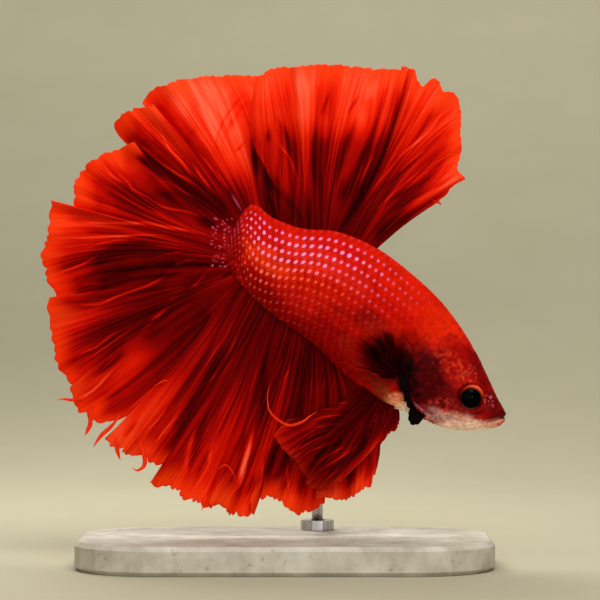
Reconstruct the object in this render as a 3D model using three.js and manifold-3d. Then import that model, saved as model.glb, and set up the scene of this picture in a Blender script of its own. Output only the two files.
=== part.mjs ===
// A male halfmoon betta (Betta splendens), life size, held up by a plain display stand.
// Millimetres, +Z up. The head points to +X, the right flank to -Y and the left flank to +Y.
// The origin is the middle of the base's underside.
import * as THREE from 'three';
import { mergeVertices } from 'three/addons/utils/BufferGeometryUtils.js';
import Module from 'manifold-3d';

const wasm = await Module();
wasm.setup();

// ------------------------------------------------------------------ driving dimensions

const CUT = 0.12; // half the width of a thin cut between two pieces of flesh
const GAP = 0.3; // clearance round a piece that sits in another
const FIN = { root: 0.75, edge: 0.55 }; // thickness of a fin at its root and at its margin
const BLOCK = 150; // side of a cutting block, larger than the fish
const WELD = 1e-4; // corners nearer than this are one

// Stations along the body: a point of the back, one of the belly, and half the width.
const STATIONS = [
  { at: 'lips', back: [30.9, 20.65], belly: [30.9, 20.65], half: 0 },
  { at: 'mouth', back: [30.45, 22.1], belly: [30.0, 19.4], half: 1.5 },
  { at: 'snout', back: [29.5, 24.1], belly: [27.7, 18.95], half: 2.3 },
  { at: 'eye', back: [28.4, 26.45], belly: [24.9, 18.8], half: 3.05 },
  { at: 'cheek', back: [26.8, 29.75], belly: [21.7, 19.4], half: 3.7 },
  { at: 'gill', back: [24.45, 33.65], belly: [17.2, 21.3], half: 4.2 },
  { at: 'shoulder', back: [21.65, 37.3], belly: [13.4, 22.5], half: 4.4 },
  { at: 'chest', back: [16.9, 41.6], belly: [8.0, 26.9], half: 4.3 },
  { at: 'dorsal front', back: [12.5, 44.7], belly: [3.4, 31.2], half: 3.9 },
  { at: 'loin', back: [7.4, 46.8], belly: [-0.3, 33.9], half: 3.4 },
  { at: 'dorsal rear', back: [2.5, 47.25], belly: [-3.2, 36.1], half: 2.8 },
  { at: 'tail stem', back: [-1.3, 48.6], belly: [-5.5, 38.4], half: 2.1 },
  { at: 'tail root', back: [-5.0, 50.5], belly: [-7.7, 41.0], half: 1.3 },
  { at: 'tail end', back: [-8.8, 44.6], belly: [-8.8, 44.6], half: 0 },
];
const BODY_RINGS = 26;
const BODY_SIDES = 20;
const SWAY = { from: 16, per: 34, by: 1.2 }; // the tail swings to the left, growing to the rear

// Cuts across the body, each between a point of its upper edge and one of its lower edge.
const NECK_CUT = { upper: [22.3, 36.2], lower: [16.4, 21.3] };
const TAIL_CUT = { upper: [1.2, 47.6], lower: [-4.2, 37.0] };
const MOUTH_CUT = { front: [30.95, 20.8], corner: [24.8, 19.65] };
const JAW_CUT = { upper: [25.4, 21.0], lower: [24.0, 18.0] };

const EYE = { at: [25.84, 23.6], radius: 1.88, flat: 0.7, sunk: 0.85, sides: 12 };
const GILL = {
  at: [21.1, 26.3], half: [3.9, 5.5], tilt: 14, thick: 0.5, proud: 0.25, through: [0.7, 9.7], sides: 20,
};
const MEMBRANE = {
  shift: [-0.9, -0.7], grow: 0.1, thick: 0.4, proud: 0.6, below: 29.5,
  edge: { upper: [22.3, 40], lower: [24.3, 10] },
};

// Fins. Rays run from the root line to the margin, whose tips and notches are given as
// [angle, reach] from the hub, in degrees from +X towards +Z. lay is how far the first ray, the
// middle one and the last one lean to the left at the margin, bow how far they curve in the
// fin's own plane, and pleat the height of the folds between them.
const CAUDAL = {
  hub: [-6.6, 45.5],
  root: [[-3.4, 49.2], [-6.6, 40.2]],
  margin: [
    [68, 22.6], [76, 24.6], [88, 23.8], [117, 24.6], [123, 22], [137, 24.3], [141, 20.2], [147, 22.2],
    [157, 24.8], [169, 22.9], [171, 27.1], [184, 28.1], [198, 27.4], [216, 31.7], [219.5, 30.9],
    [221.5, 34.2], [231, 35.2], [236, 34.8],
  ],
  lay: [4.2, 0.4, 3.6], bow: [-6.5, 0.6, 8.5], pleat: 0.75, folds: 11, steps: [53, 6],
};
const DORSAL = {
  hub: [7.0, 46.2],
  root: [[12.6, 44.0], [-1.4, 48.2]],
  margin: [
    [14.8, 15.3], [25, 19.8], [40, 23.1], [51, 25.3], [62, 23.8], [65, 25.5], [85, 24.2], [102, 23.9],
    [119.5, 24.1],
  ],
  lay: [-0.6, -1.6, -2.8], bow: [-0.4, 0.6, 2.5], pleat: 0.6, folds: 8, steps: [34, 5],
};
const ANAL = {
  hub: [0.7, 32.9],
  root: [[9.3, 26.6], [-6.1, 39.4]],
  margin: [
    [304, 21.8], [293.5, 24.8], [287, 25], [279.3, 23.4], [272, 26], [261.6, 24.1], [257, 26.9],
    [247.7, 25.1], [244, 28], [231, 28.8], [228.5, 26.2], [219, 28.6], [210.1, 31.5],
  ],
  lay: [-0.6, -1.8, -3.4], bow: [3.2, 0.8, 1.8], pleat: 0.65, folds: 9, steps: [42, 5],
};
const VENTRAL = {
  hub: [15.0, 22.5],
  root: [[15.4, 23.2], [13.6, 24.4]],
  margin: [[256, 4.6], [244, 7], [233, 11.4], [228, 16], [217, 16.2], [206, 15.9], [191, 16.7]],
  lay: [0.4, 2.0, 2.6], bow: [0, 0.6, 1.4], pleat: 0.35, folds: 4, steps: [16, 4], side: 1.7,
};
const LEFT_VENTRAL_MARGIN = [
  [297, 2.4], [284, 3.7], [262, 4.6], [244, 8], [230, 13], [212, 14.4], [196, 14.6],
];
const PECTORAL = {
  hub: [16.2, 26.6],
  root: [[15.2, 28.0], [15.2, 25.4]],
  margin: [[94, 5.6], [108, 6.8], [130, 8.0], [152, 9.2], [171, 9.8], [186, 8.4]],
  lay: [2.0, 2.8, 2.6], bow: [0.3, 0, -0.3], pleat: 0.2, folds: 2, steps: [12, 3], side: 4.1,
};

const BASE = { length: 58, depth: 36, height: 4, corner: 12, chamfer: 0.6 };
const ROD = { radius: 0.8, foot: [4.6, 13, 1.6], head: [4.6, 1.5, 36.5], sides: 16 };
const COLLAR = { radius: 2.4, height: 1.4, sides: 20, clear: 0.02 };

// ------------------------------------------------------------------ solids and cutters

const plane = ([x, z], y = 0) => new THREE.Vector3(x, y, z);
const blend = (a, b, t) => a + (b - a) * t;

// Swings a point of the fish to the left, the more the farther it is to the rear.
function swayed(point) {
  const behind = Math.max(0, SWAY.from - point.x) / SWAY.per;
  return point.setY(point.y + SWAY.by * behind ** 2);
}

// Welds a closed geometry and makes it a solid with its faces outwards.
function solid(geometry) {
  geometry.deleteAttribute('normal');
  geometry.deleteAttribute('uv');
  const welded = mergeVertices(geometry, WELD);
  const mesh = { numProp: 3, vertProperties: welded.attributes.position.array };
  const corners = Uint32Array.from(welded.index.array);
  const body = new wasm.Manifold(new wasm.Mesh({ ...mesh, triVerts: dropSlivers(corners) }));
  if (body.volume() > 0) return body;
  return new wasm.Manifold(new wasm.Mesh({ ...mesh, triVerts: dropSlivers(corners).reverse() }));
}

// Leaves out the triangles that a pole has welded to a line.
function dropSlivers(corners) {
  const kept = [];
  for (let i = 0; i < corners.length; i += 3) {
    const [a, b, c] = corners.subarray(i, i + 3);
    if (a !== b && b !== c && c !== a) kept.push(a, b, c);
  }
  return Uint32Array.from(kept);
}

// A block that fills everything on one side of a cut, from its middle plane out.
function beyond(upper, lower, side, clear = CUT) {
  const up = plane(upper).sub(plane(lower)).normalize();
  const out = new THREE.Vector3(up.z, 0, -up.x).multiplyScalar(side);
  const left = new THREE.Vector3(0, 1, 0);
  const turn = new THREE.Matrix4().makeBasis(out, left, out.clone().cross(left));
  const middle = plane(upper).lerp(plane(lower), 0.5).addScaledVector(out, BLOCK / 2 + clear);
  const block = new THREE.BoxGeometry(BLOCK, BLOCK, BLOCK).applyMatrix4(turn);
  return solid(block.translate(middle.x, middle.y, middle.z));
}

function placed(name, body, material) {
  const { numProp, vertProperties, triVerts } = body.getMesh();
  if (numProp !== 3) throw new Error(`${name} carries more than positions`);
  const geometry = new THREE.BufferGeometry();
  geometry.setAttribute('position', new THREE.BufferAttribute(vertProperties, 3));
  geometry.setIndex(new THREE.BufferAttribute(triVerts, 1));
  geometry.computeVertexNormals();
  const mesh = new THREE.Mesh(geometry, material);
  mesh.name = name;
  return mesh;
}

// ------------------------------------------------------------------ body

// The lines of the back, the belly and the girth, all grown outwards by the same amount.
function bodyLines(grow) {
  const last = STATIONS.length - 1;
  const grown = STATIONS.map(({ back, belly, half }, i) => {
    const up = plane(back).sub(plane(belly));
    const end = i === 0 ? new THREE.Vector3(1, 0, 0) : i === last ? new THREE.Vector3(-1, 0, 0) : null;
    const by = up.length() > 0 ? up.normalize().multiplyScalar(grow) : up;
    const shift = end ? end.multiplyScalar(grow) : new THREE.Vector3();
    return {
      back: plane(back).add(by).add(shift),
      belly: plane(belly).sub(by).add(shift),
      half: new THREE.Vector3(i, end ? 0 : half + grow, 0),
    };
  });
  const line = (key) => new THREE.CatmullRomCurve3(grown.map((g) => g[key]), false, 'catmullrom', 0.5);
  return { back: line('back'), belly: line('belly'), half: line('half') };
}

// A point of the skin: along runs from the lips to the tail, turn from the back round the left.
function skinPoint(lines, along, turn) {
  const back = lines.back.getPoint(along);
  const belly = lines.belly.getPoint(along);
  const half = Math.max(0, lines.half.getPoint(along).y);
  const share = (1 + Math.cos(turn)) / 2;
  const point = belly.lerp(back, share);
  return swayed(point.setY(half * Math.sin(turn)));
}

function bodySolid(grow = 0) {
  const lines = bodyLines(grow);
  const ball = new THREE.SphereGeometry(1, BODY_SIDES, BODY_RINGS);
  const { position, uv } = ball.attributes;
  for (let i = 0; i < position.count; i++) {
    const point = skinPoint(lines, 1 - uv.getY(i), uv.getX(i) * 2 * Math.PI);
    position.setXYZ(i, point.x, point.y, point.z);
  }
  return solid(ball);
}

// Half the body's width at a spot of the flank, found on the skin itself.
function flankAt([x, z]) {
  const lines = bodyLines(0);
  const search = { along: 0.004, turn: 0.02 };
  let nearest = null;
  for (let along = 0; along <= 1; along += search.along) {
    for (let turn = 0; turn <= Math.PI; turn += search.turn) {
      const point = skinPoint(lines, along, turn);
      const miss = Math.hypot(point.x - x, point.z - z);
      if (!nearest || miss < nearest.miss) nearest = { miss, y: point.y };
    }
  }
  return nearest.y;
}

// An oval rod through one flank, which outlines the gill cover there.
function gillOval(side, grow, [dx, dz] = [0, 0]) {
  const [inner, outer] = GILL.through;
  const oval = new THREE.CylinderGeometry(1, 1, outer - inner, GILL.sides);
  oval.scale(GILL.half[0] + grow, 1, GILL.half[1] + grow);
  oval.rotateY(THREE.MathUtils.degToRad(GILL.tilt));
  return solid(oval.translate(GILL.at[0] + dx, (side * (inner + outer)) / 2, GILL.at[1] + dz));
}

function gillPieces(side) {
  const layer = (proud, thick) => bodySolid(proud).subtract(bodySolid(-thick));
  const cover = gillOval(side, 0).intersect(layer(GILL.proud, GILL.thick));
  const behindCover = gillOval(side, MEMBRANE.grow, MEMBRANE.shift).subtract(gillOval(side, GAP));
  const low = beyond([1, MEMBRANE.below], [-1, MEMBRANE.below], 1, 0);
  const rear = beyond(MEMBRANE.edge.upper, MEMBRANE.edge.lower, -1, 0);
  const strip = layer(MEMBRANE.proud, MEMBRANE.thick);
  const membrane = behindCover.intersect(low).intersect(rear).intersect(strip);
  const pocket = gillOval(side, GAP)
    .add(gillOval(side, MEMBRANE.grow + GAP, MEMBRANE.shift).intersect(low).intersect(rear))
    .subtract(bodySolid(-GILL.thick - GAP));
  return { cover, membrane, pocket };
}

// ------------------------------------------------------------------ fins

// Three values spread over the fin, at its first ray, its middle one and its last one.
function spread([first, middle, last], u) {
  return (1 - u) * (1 - 2 * u) * first + 4 * u * (1 - u) * middle + u * (2 * u - 1) * last;
}

function reachAt(margin, angle) {
  const turned = Math.sign(margin.at(-1)[0] - margin[0][0]);
  const next = Math.max(1, margin.findIndex(([a]) => (a - angle) * turned >= 0));
  const [[fromAngle, from], [toAngle, to]] = [margin[next - 1], margin[next]];
  return blend(from, to, (angle - fromAngle) / (toAngle - fromAngle));
}

// A point of the fin's middle layer: u runs over the rays, v from the root to the margin.
function finPoint(fin, u, v, side) {
  const angle = blend(fin.margin[0][0], fin.margin.at(-1)[0], u);
  const reach = reachAt(fin.margin, angle);
  const heading = THREE.MathUtils.degToRad(angle);
  const ray = plane([Math.cos(heading), Math.sin(heading)]);
  const tip = plane(fin.hub).addScaledVector(ray, reach);
  const root = plane(fin.root[0]).lerp(plane(fin.root[1]), u);
  const across = new THREE.Vector3(-(tip.z - root.z), 0, tip.x - root.x).normalize();
  const point = root.clone().lerp(tip, v).addScaledVector(across, spread(fin.bow, u) * 2 * v * (1 - v));
  const fold = fin.pleat * v ** 1.6 * Math.sin(2 * Math.PI * fin.folds * u);
  const lean = spread(fin.lay, u) * v ** 0.9;
  return swayed(point.setY(side * ((fin.side ?? 0) + lean + fold)));
}

// The direction square to the fin's middle layer.
function finNormal(fin, u, v, side) {
  const step = 0.004;
  const [before, after] = [Math.max(0, u - step), Math.min(1, u + step)];
  const [inner, outer] = [Math.max(0, v - step), Math.min(1, v + step)];
  const overU = finPoint(fin, after, v, side).sub(finPoint(fin, before, v, side));
  const overV = finPoint(fin, u, outer, side).sub(finPoint(fin, u, inner, side));
  return overU.cross(overV).normalize();
}

function finSolid(fin, side = 1) {
  const [across, along] = fin.steps;
  const box = new THREE.BoxGeometry(1, 1, 1, across, along, 1);
  const { position } = box.attributes;
  for (let i = 0; i < position.count; i++) {
    const u = position.getX(i) + 0.5;
    const v = position.getY(i) + 0.5;
    const normal = finNormal(fin, u, v, side);
    const thick = blend(FIN.root, FIN.edge, Math.min(1, 2 * v));
    const point = finPoint(fin, u, v, side).addScaledVector(normal, position.getZ(i) * thick);
    position.setXYZ(i, point.x, point.y, point.z);
  }
  return solid(box);
}

// ------------------------------------------------------------------ materials

function finish(color, roughness, metalness = 0) {
  return new THREE.MeshStandardMaterial({ color, roughness, metalness });
}
const scaledFlank = finish('#7d1420', 0.4);
const headSkin = finish('#8c1410', 0.4);
const jawSkin = finish('#d9a08a', 0.45);
const gillSkin = finish('#4a0a0c', 0.4);
const membraneBlack = finish('#120507', 0.6);
const finRed = finish('#b80c08', 0.5);
const clearFin = finish('#c9a58c', 0.4);
const eyeBlack = finish('#0c0606', 0.15);
const baseStone = finish('#b9b4aa', 0.6);
const rodSteel = finish('#b8babc', 0.3, 1);

// ------------------------------------------------------------------ the fish

const model = new THREE.Group();
const fish = new THREE.Group();
const stand = new THREE.Group();
model.add(fish, stand);

const rodFoot = new THREE.Vector3(...ROD.foot);
const rodHead = new THREE.Vector3(...ROD.head);

// The stand's rod, or with some clearance the socket that takes it.
function rodGeometry(clear) {
  const radius = ROD.radius + clear;
  const length = rodHead.distanceTo(rodFoot) + 2 * clear;
  return new THREE.CylinderGeometry(radius, radius, length, ROD.sides);
}
const rod = new THREE.Mesh(rodGeometry(0), rodSteel);
rod.name = 'stand_rod';
rod.position.copy(rodFoot).lerp(rodHead, 0.5);
rod.quaternion.setFromUnitVectors(new THREE.Vector3(0, 1, 0), rodHead.clone().sub(rodFoot).normalize());
rod.updateMatrix();
const rodSocket = solid(rodGeometry(GAP).applyMatrix4(rod.matrix));

const whole = bodySolid();
const clearOfFlesh = bodySolid(GAP);
let frontPart = whole.intersect(beyond(NECK_CUT.upper, NECK_CUT.lower, 1));
let middlePart = whole
  .intersect(beyond(NECK_CUT.upper, NECK_CUT.lower, -1))
  .intersect(beyond(TAIL_CUT.upper, TAIL_CUT.lower, 1))
  .subtract(rodSocket);
const tailStem = whole.intersect(beyond(TAIL_CUT.upper, TAIL_CUT.lower, -1));

for (const [name, side] of [['right', -1], ['left', 1]]) {
  const { cover, membrane, pocket } = gillPieces(side);
  fish.add(placed(`gill_cover_${name}`, cover, gillSkin));
  fish.add(placed(`gill_membrane_${name}`, membrane, membraneBlack));
  frontPart = frontPart.subtract(pocket);
  middlePart = middlePart.subtract(pocket);

  const eyeDepth = flankAt(EYE.at) - EYE.sunk;
  const ball = (clear) =>
    new THREE.SphereGeometry(EYE.radius + clear, EYE.sides, EYE.sides / 2).scale(1, EYE.flat, 1);
  const eye = new THREE.Mesh(ball(0), eyeBlack);
  eye.name = `eye_${name}`;
  eye.position.set(EYE.at[0], side * eyeDepth, EYE.at[1]);
  fish.add(eye);
  frontPart = frontPart.subtract(solid(ball(GAP).translate(...eye.position)));
}

// The lower jaw lies below the mouth's line and in front of the jaw's corner.
const underMouth = (clear) => beyond(MOUTH_CUT.front, MOUTH_CUT.corner, 1, clear)
  .intersect(beyond(JAW_CUT.upper, JAW_CUT.lower, 1, clear));
fish.add(placed('head', frontPart.subtract(underMouth(-CUT)), headSkin));
fish.add(placed('lower_jaw', frontPart.intersect(underMouth(CUT)), jawSkin));
fish.add(placed('trunk', middlePart, scaledFlank));
fish.add(placed('tail_stem', tailStem, scaledFlank));

const onBody = (body) => body.subtract(clearOfFlesh);
fish.add(placed('caudal_fin', onBody(finSolid(CAUDAL)), finRed));
fish.add(placed('dorsal_fin', onBody(finSolid(DORSAL)), finRed));
fish.add(placed('anal_fin', onBody(finSolid(ANAL)), finRed));
fish.add(placed('ventral_fin_right', onBody(finSolid(VENTRAL, -1)), finRed));
fish.add(placed('ventral_fin_left', onBody(finSolid({ ...VENTRAL, margin: LEFT_VENTRAL_MARGIN })), finRed));
fish.add(placed('pectoral_fin_right', onBody(finSolid(PECTORAL, -1)), clearFin));
fish.add(placed('pectoral_fin_left', onBody(finSolid(PECTORAL)), clearFin));

// ------------------------------------------------------------------ the stand

function baseGeometry() {
  const { length, depth, height, corner, chamfer } = BASE;
  const [x, y] = [length / 2 - chamfer, depth / 2 - chamfer];
  const r = corner - chamfer;
  const outline = new THREE.Shape();
  outline.moveTo(-x + r, -y).lineTo(x - r, -y);
  outline.absarc(x - r, -y + r, r, -Math.PI / 2, 0);
  outline.absarc(x - r, y - r, r, 0, Math.PI / 2);
  outline.absarc(-x + r, y - r, r, Math.PI / 2, Math.PI);
  outline.absarc(-x + r, -y + r, r, Math.PI, Math.PI * 1.5);
  const bevel = { bevelEnabled: true, bevelThickness: chamfer, bevelSize: chamfer, bevelSegments: 1 };
  const rise = { depth: height - 2 * chamfer, curveSegments: 5 };
  const slab = new THREE.ExtrudeGeometry(outline, { ...rise, ...bevel });
  return slab.translate(0, 0, chamfer);
}
stand.add(placed('stand_base', solid(baseGeometry()).subtract(rodSocket), baseStone));
stand.add(rod);

const { radius: collarRadius, height: collarHeight, sides: collarSides, clear: collarClear } = COLLAR;
const collarRing = new THREE.CylinderGeometry(collarRadius, collarRadius, collarHeight, collarSides);
const rodShare = (BASE.height + collarHeight / 2 - rodFoot.z) / (rodHead.z - rodFoot.z);
const collarAt = rodFoot.clone().lerp(rodHead, rodShare);
collarRing.rotateX(Math.PI / 2).translate(collarAt.x, collarAt.y, collarAt.z + collarClear);
stand.add(placed('stand_collar', solid(collarRing).subtract(rodSocket), rodSteel));

export default model;
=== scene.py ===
# %% [markdown]
# # A red halfmoon betta, life size, on a display stand
# The object is a still model of a male betta fish, such as a museum shows: a scaled body with a
# small head, wide pleated fins, and a plain stand that holds it up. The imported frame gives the
# sizes and the places. Blender adds what solids can't carry: the skin, the scales, the thin
# folded fins, the eyes, and the finish of every surface.

# %% Load the frame
import math

import bmesh
import bpy
import numpy as np
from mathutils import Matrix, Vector
from mathutils.bvhtree import BVHTree


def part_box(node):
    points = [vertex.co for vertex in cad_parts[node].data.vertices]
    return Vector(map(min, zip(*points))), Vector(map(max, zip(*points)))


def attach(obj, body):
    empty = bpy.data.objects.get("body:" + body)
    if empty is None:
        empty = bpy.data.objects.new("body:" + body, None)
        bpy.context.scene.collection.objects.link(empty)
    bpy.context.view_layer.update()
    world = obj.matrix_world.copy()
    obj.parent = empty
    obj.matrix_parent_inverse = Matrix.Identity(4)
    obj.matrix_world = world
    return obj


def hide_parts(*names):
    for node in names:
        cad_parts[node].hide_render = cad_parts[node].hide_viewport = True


MM = 0.001
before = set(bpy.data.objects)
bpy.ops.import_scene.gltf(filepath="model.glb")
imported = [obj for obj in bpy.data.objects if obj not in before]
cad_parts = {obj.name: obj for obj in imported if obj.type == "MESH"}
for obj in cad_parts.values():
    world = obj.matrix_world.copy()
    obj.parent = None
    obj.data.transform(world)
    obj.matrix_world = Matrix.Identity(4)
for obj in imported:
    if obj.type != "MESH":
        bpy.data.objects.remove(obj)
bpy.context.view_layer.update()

# %% [markdown]
# ## The camera
# The fish is seen square on, from its right, as through the glass of a tank. A long lens from
# 40 cm keeps the fins free of perspective, and its frame is 84 mm wide at the fish, so the fish
# fills most of the picture. It looks level, so it is only moved back and stood upright.

# %% Camera
CAMERA = {"x": 2.1, "away": 400, "height": 37.1, "frame": 84, "sensor": 36}
camera = bpy.data.objects.new("camera", bpy.data.cameras.new("camera"))
camera.location = (CAMERA["x"] * MM, -CAMERA["away"] * MM, CAMERA["height"] * MM)
camera.rotation_euler = (math.radians(90), 0, 0)
camera.data.sensor_width = CAMERA["sensor"]
camera.data.lens = CAMERA["sensor"] * CAMERA["away"] / CAMERA["frame"]
bpy.context.scene.collection.objects.link(camera)
bpy.context.scene.camera = camera
bpy.context.scene.view_settings.view_transform = "Standard"
print("lens", round(camera.data.lens, 1), "mm")

# %% [markdown]
# ## Small tools
# Every living surface here is made in the same way: a bmesh operator makes an even sphere or
# grid, and NumPy moves all of its points at once with a formula. That is much faster than a loop
# over vertices, and the formula says what the shape is. These helpers are soft steps, humps and
# random ups and downs. The random numbers are seeded, so each run gives the same fish.


# %% Soft steps, humps and random waves
WAVE_KNOTS, PATCH_KNOTS = 1024, 128


def ease(low, high, value):
    """Goes softly from 0 at low to 1 at high."""
    t = np.clip((value - low) / (high - low), 0, 1)
    return t * t * (3 - 2 * t)


def hump(value, width):
    """A smooth hump of height 1 where value is 0."""
    return np.exp(-0.5 * (value / width) ** 2)


def wander(value, seed):
    """Random ups and downs between -1 and 1, one for each whole step of value."""
    knots = np.random.default_rng(seed).uniform(-1, 1, WAVE_KNOTS)
    whole = np.floor(value).astype(int)
    part = ease(0, 1, value - whole)
    return knots[whole % WAVE_KNOTS] * (1 - part) + knots[(whole + 1) % WAVE_KNOTS] * part


def cloud(a, b, seed):
    """Random patches between -1 and 1 over two directions."""
    knots = np.random.default_rng(seed).uniform(-1, 1, (PATCH_KNOTS, PATCH_KNOTS))
    row, column = np.floor(a).astype(int), np.floor(b).astype(int)
    down, over = ease(0, 1, a - row), ease(0, 1, b - column)

    def in_row(row):
        start = knots[row % PATCH_KNOTS, column % PATCH_KNOTS]
        return start * (1 - over) + knots[row % PATCH_KNOTS, (column + 1) % PATCH_KNOTS] * over

    return in_row(row) * (1 - down) + in_row(row + 1) * down


def polar(angle, reach):
    """A step of a given reach in the side view, at an angle in degrees from the snout's side."""
    turned = np.radians(angle)
    return np.stack([reach * np.cos(turned), reach * np.sin(turned)], -1)


def tint(red, green, blue):
    """A colour from a paint chart's 0 to 255 values, as the linear values that Blender mixes."""
    chart = np.array([red, green, blue]) / 255
    return np.where(chart <= 0.04045, chart / 12.92, ((chart + 0.055) / 1.055) ** 2.4)


print("tools ready, half way up a soft step is", float(ease(0, 1, 0.5)))


# %% [markdown]
# ## From formula to mesh
# A mesh made by an operator is moved by writing all of its coordinates at once. Attributes such
# as a painted colour are written in the same way, one value for each point, and the materials
# read them by name. The map named OFBake is the one that colours are baked through.


# %% Mesh helpers
#   the bake map keeps a margin, and leaves room for the faces at its seam
BAKE = {"margin": 0.01, "wide": 0.98, "round": 0.96}


def points_of(mesh):
    """All the points of a mesh, as rows of x, y and z."""
    flat = np.empty(len(mesh.vertices) * 3)
    mesh.vertices.foreach_get("co", flat)
    return flat.reshape(-1, 3)


def mesh_from(bm, name):
    """Turns a finished bmesh into a mesh."""
    mesh = bpy.data.meshes.new(name)
    bm.to_mesh(mesh)
    bm.free()
    return mesh


def grid_mesh(name, across, along):
    """A flat grid of quads and, for each of its points, u and v from 0 to 1."""
    bm = bmesh.new()
    bmesh.ops.create_grid(bm, x_segments=across, y_segments=along, size=0.5)
    mesh = mesh_from(bm, name)
    flat = points_of(mesh) + 0.5
    return mesh, flat[:, 0], flat[:, 1]


def ball_mesh(name, rounds, rings):
    """A sphere of radius 1 and its points."""
    bm = bmesh.new()
    bmesh.ops.create_uvsphere(bm, u_segments=rounds, v_segments=rings, radius=1)
    mesh = mesh_from(bm, name)
    return mesh, points_of(mesh)


def parts_of(bm):
    """The points of a small bmesh and the corners of its faces, to make many copies from."""
    points = np.array([vert.co[:] for vert in bm.verts])
    faces = [[vert.index for vert in face.verts] for face in bm.faces]
    bm.free()
    return points, faces


def mesh_of_copies(name, points, faces, copies):
    """One mesh from the points of all the copies, in millimetres, and the faces of the first."""
    each = len(points) // copies
    corners = [[corner + copy * each for corner in face] for copy in range(copies) for face in faces]
    mesh = bpy.data.meshes.new(name)
    mesh.from_pydata((points * MM).tolist(), [], corners)
    return mesh


def move_points(mesh, points):
    """Moves a mesh's points to places in millimetres."""
    mesh.vertices.foreach_set("co", (points * MM).ravel())
    mesh.update()


def write_value(mesh, name, values):
    """Keeps one number for each point."""
    layer = mesh.attributes.new(name, "FLOAT", "POINT")
    layer.data.foreach_set("value", np.asarray(values, float).ravel())


def write_colour(mesh, name, colours):
    """Keeps one colour for each point."""
    layer = mesh.color_attributes.new(name, "FLOAT_COLOR", "POINT")
    layer.data.foreach_set("color", np.c_[colours, np.ones(len(colours))].ravel())


def corners_of(mesh):
    """The point at each corner of each face."""
    corners = np.empty(len(mesh.loops), int)
    mesh.loops.foreach_get("vertex_index", corners)
    return corners


def write_map(mesh, name, u, v):
    """A UV map from one u and v for each point."""
    corners = corners_of(mesh)
    layer = mesh.uv_layers.new(name=name)
    layer.data.foreach_set("uv", np.c_[u[corners], v[corners]].ravel())


def show(mesh, stands_for=()):
    """Puts a finished mesh in the scene, riding on the fish."""
    mesh.shade_smooth()
    piece = bpy.data.objects.new(mesh.name, mesh)
    bpy.context.scene.collection.objects.link(piece)
    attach(piece, "root")
    if stands_for:
        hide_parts(*stands_for)
    print(mesh.name, len(mesh.polygons), "faces")
    return piece


# %% [markdown]
# ## The body's outline
# The body is a loft. Fourteen stations run from the lips to the end of the tail's root, and each
# gives a point of the back, a point of the belly and half the width between them. A smooth curve
# through the stations, and a rounded section at each, give every point of the skin from two
# numbers: along, from 0 at the lips to 1 at the tail, and turn, the way round from the back.
# The rear of the body swings a little to the left, as in a fish that is turning.

# %% The loft
#   back x, back z, belly x, belly z, half width
STATIONS = (
    (30.9, 20.65, 30.9, 20.65, 0.0),
    (30.45, 22.1, 30.0, 19.4, 1.5),
    (29.5, 24.1, 27.7, 18.95, 2.3),
    (28.4, 26.45, 24.9, 18.8, 3.05),
    (26.8, 29.75, 21.7, 19.4, 3.7),
    (24.45, 33.65, 17.2, 21.3, 4.2),
    (21.65, 37.3, 13.4, 22.5, 4.4),
    (16.9, 41.6, 8.0, 26.9, 4.3),
    (12.5, 44.7, 3.4, 31.2, 3.9),
    (7.4, 46.8, -0.3, 33.9, 3.4),
    (2.5, 47.25, -3.2, 36.1, 2.8),
    (-1.3, 48.6, -5.5, 38.4, 2.1),
    (-5.0, 50.5, -7.7, 41.0, 1.3),
    (-8.8, 44.6, -8.8, 44.6, 0.0),
)
SWAY = {"from": 16, "per": 34, "by": 1.2}


def through(rows, share):
    """A smooth curve through rows of numbers, as share goes from 0 to 1."""
    rows = np.asarray(rows, float)
    rows = np.concatenate([[2 * rows[0] - rows[1]], rows, [2 * rows[-1] - rows[-2]]])
    place = np.clip(share, 0, 1) * (len(rows) - 3)
    step = np.minimum(place.astype(int), len(rows) - 4)
    t = (place - step)[..., None]
    before, start, end, after = (rows[step + k] for k in range(4))
    leaving, arriving = (end - before) / 2, (after - start) / 2
    bend = 3 * (end - start) - 2 * leaving - arriving
    return start + t * (leaving + t * (bend + t * (2 * (start - end) + leaving + arriving)))


def swayed(x, y):
    """Swings the rear of the fish to the side, more and more towards the tail."""
    return y + SWAY["by"] * (np.maximum(0, SWAY["from"] - x) / SWAY["per"]) ** 2


def flesh(along, turn):
    """Points of the bare body, in millimetres."""
    back_x, back_z, belly_x, belly_z, half = np.moveaxis(through(STATIONS, along), -1, 0)
    share = (1 + np.cos(turn)) / 2
    x = belly_x + (back_x - belly_x) * share
    z = belly_z + (back_z - belly_z) * share
    y = np.maximum(half, 0) * np.sin(turn)
    return np.stack([x, swayed(x, y), z], -1)


def outwards(along, turn):
    """The direction that faces away from the body at each point."""
    small = 1e-3
    forward = flesh(along - small, turn) - flesh(along + small, turn)
    round_it = flesh(along, turn + small) - flesh(along, turn - small)
    normal = np.cross(forward, round_it)
    return normal / np.maximum(np.linalg.norm(normal, axis=-1, keepdims=True), 1e-12)


half_way, on_back = np.array([0.5]), np.array([0.0])
facing = outwards(half_way, on_back)[0]
print("back at mid length", flesh(half_way, on_back)[0].round(1), "faces", facing.round(2))

# %% [markdown]
# ## What the head carries
# The head is where a fish is recognised: a slanting mouth with full lips, a large eye in a low
# socket, a nostril, the line of the lower jaw, and the gill cover, a plate with a sharp free edge
# at the rear. They could be separate pieces, but on the living fish they are all one skin, so they
# are pressed into it here as heights, in millimetres, measured in the side view.

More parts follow.
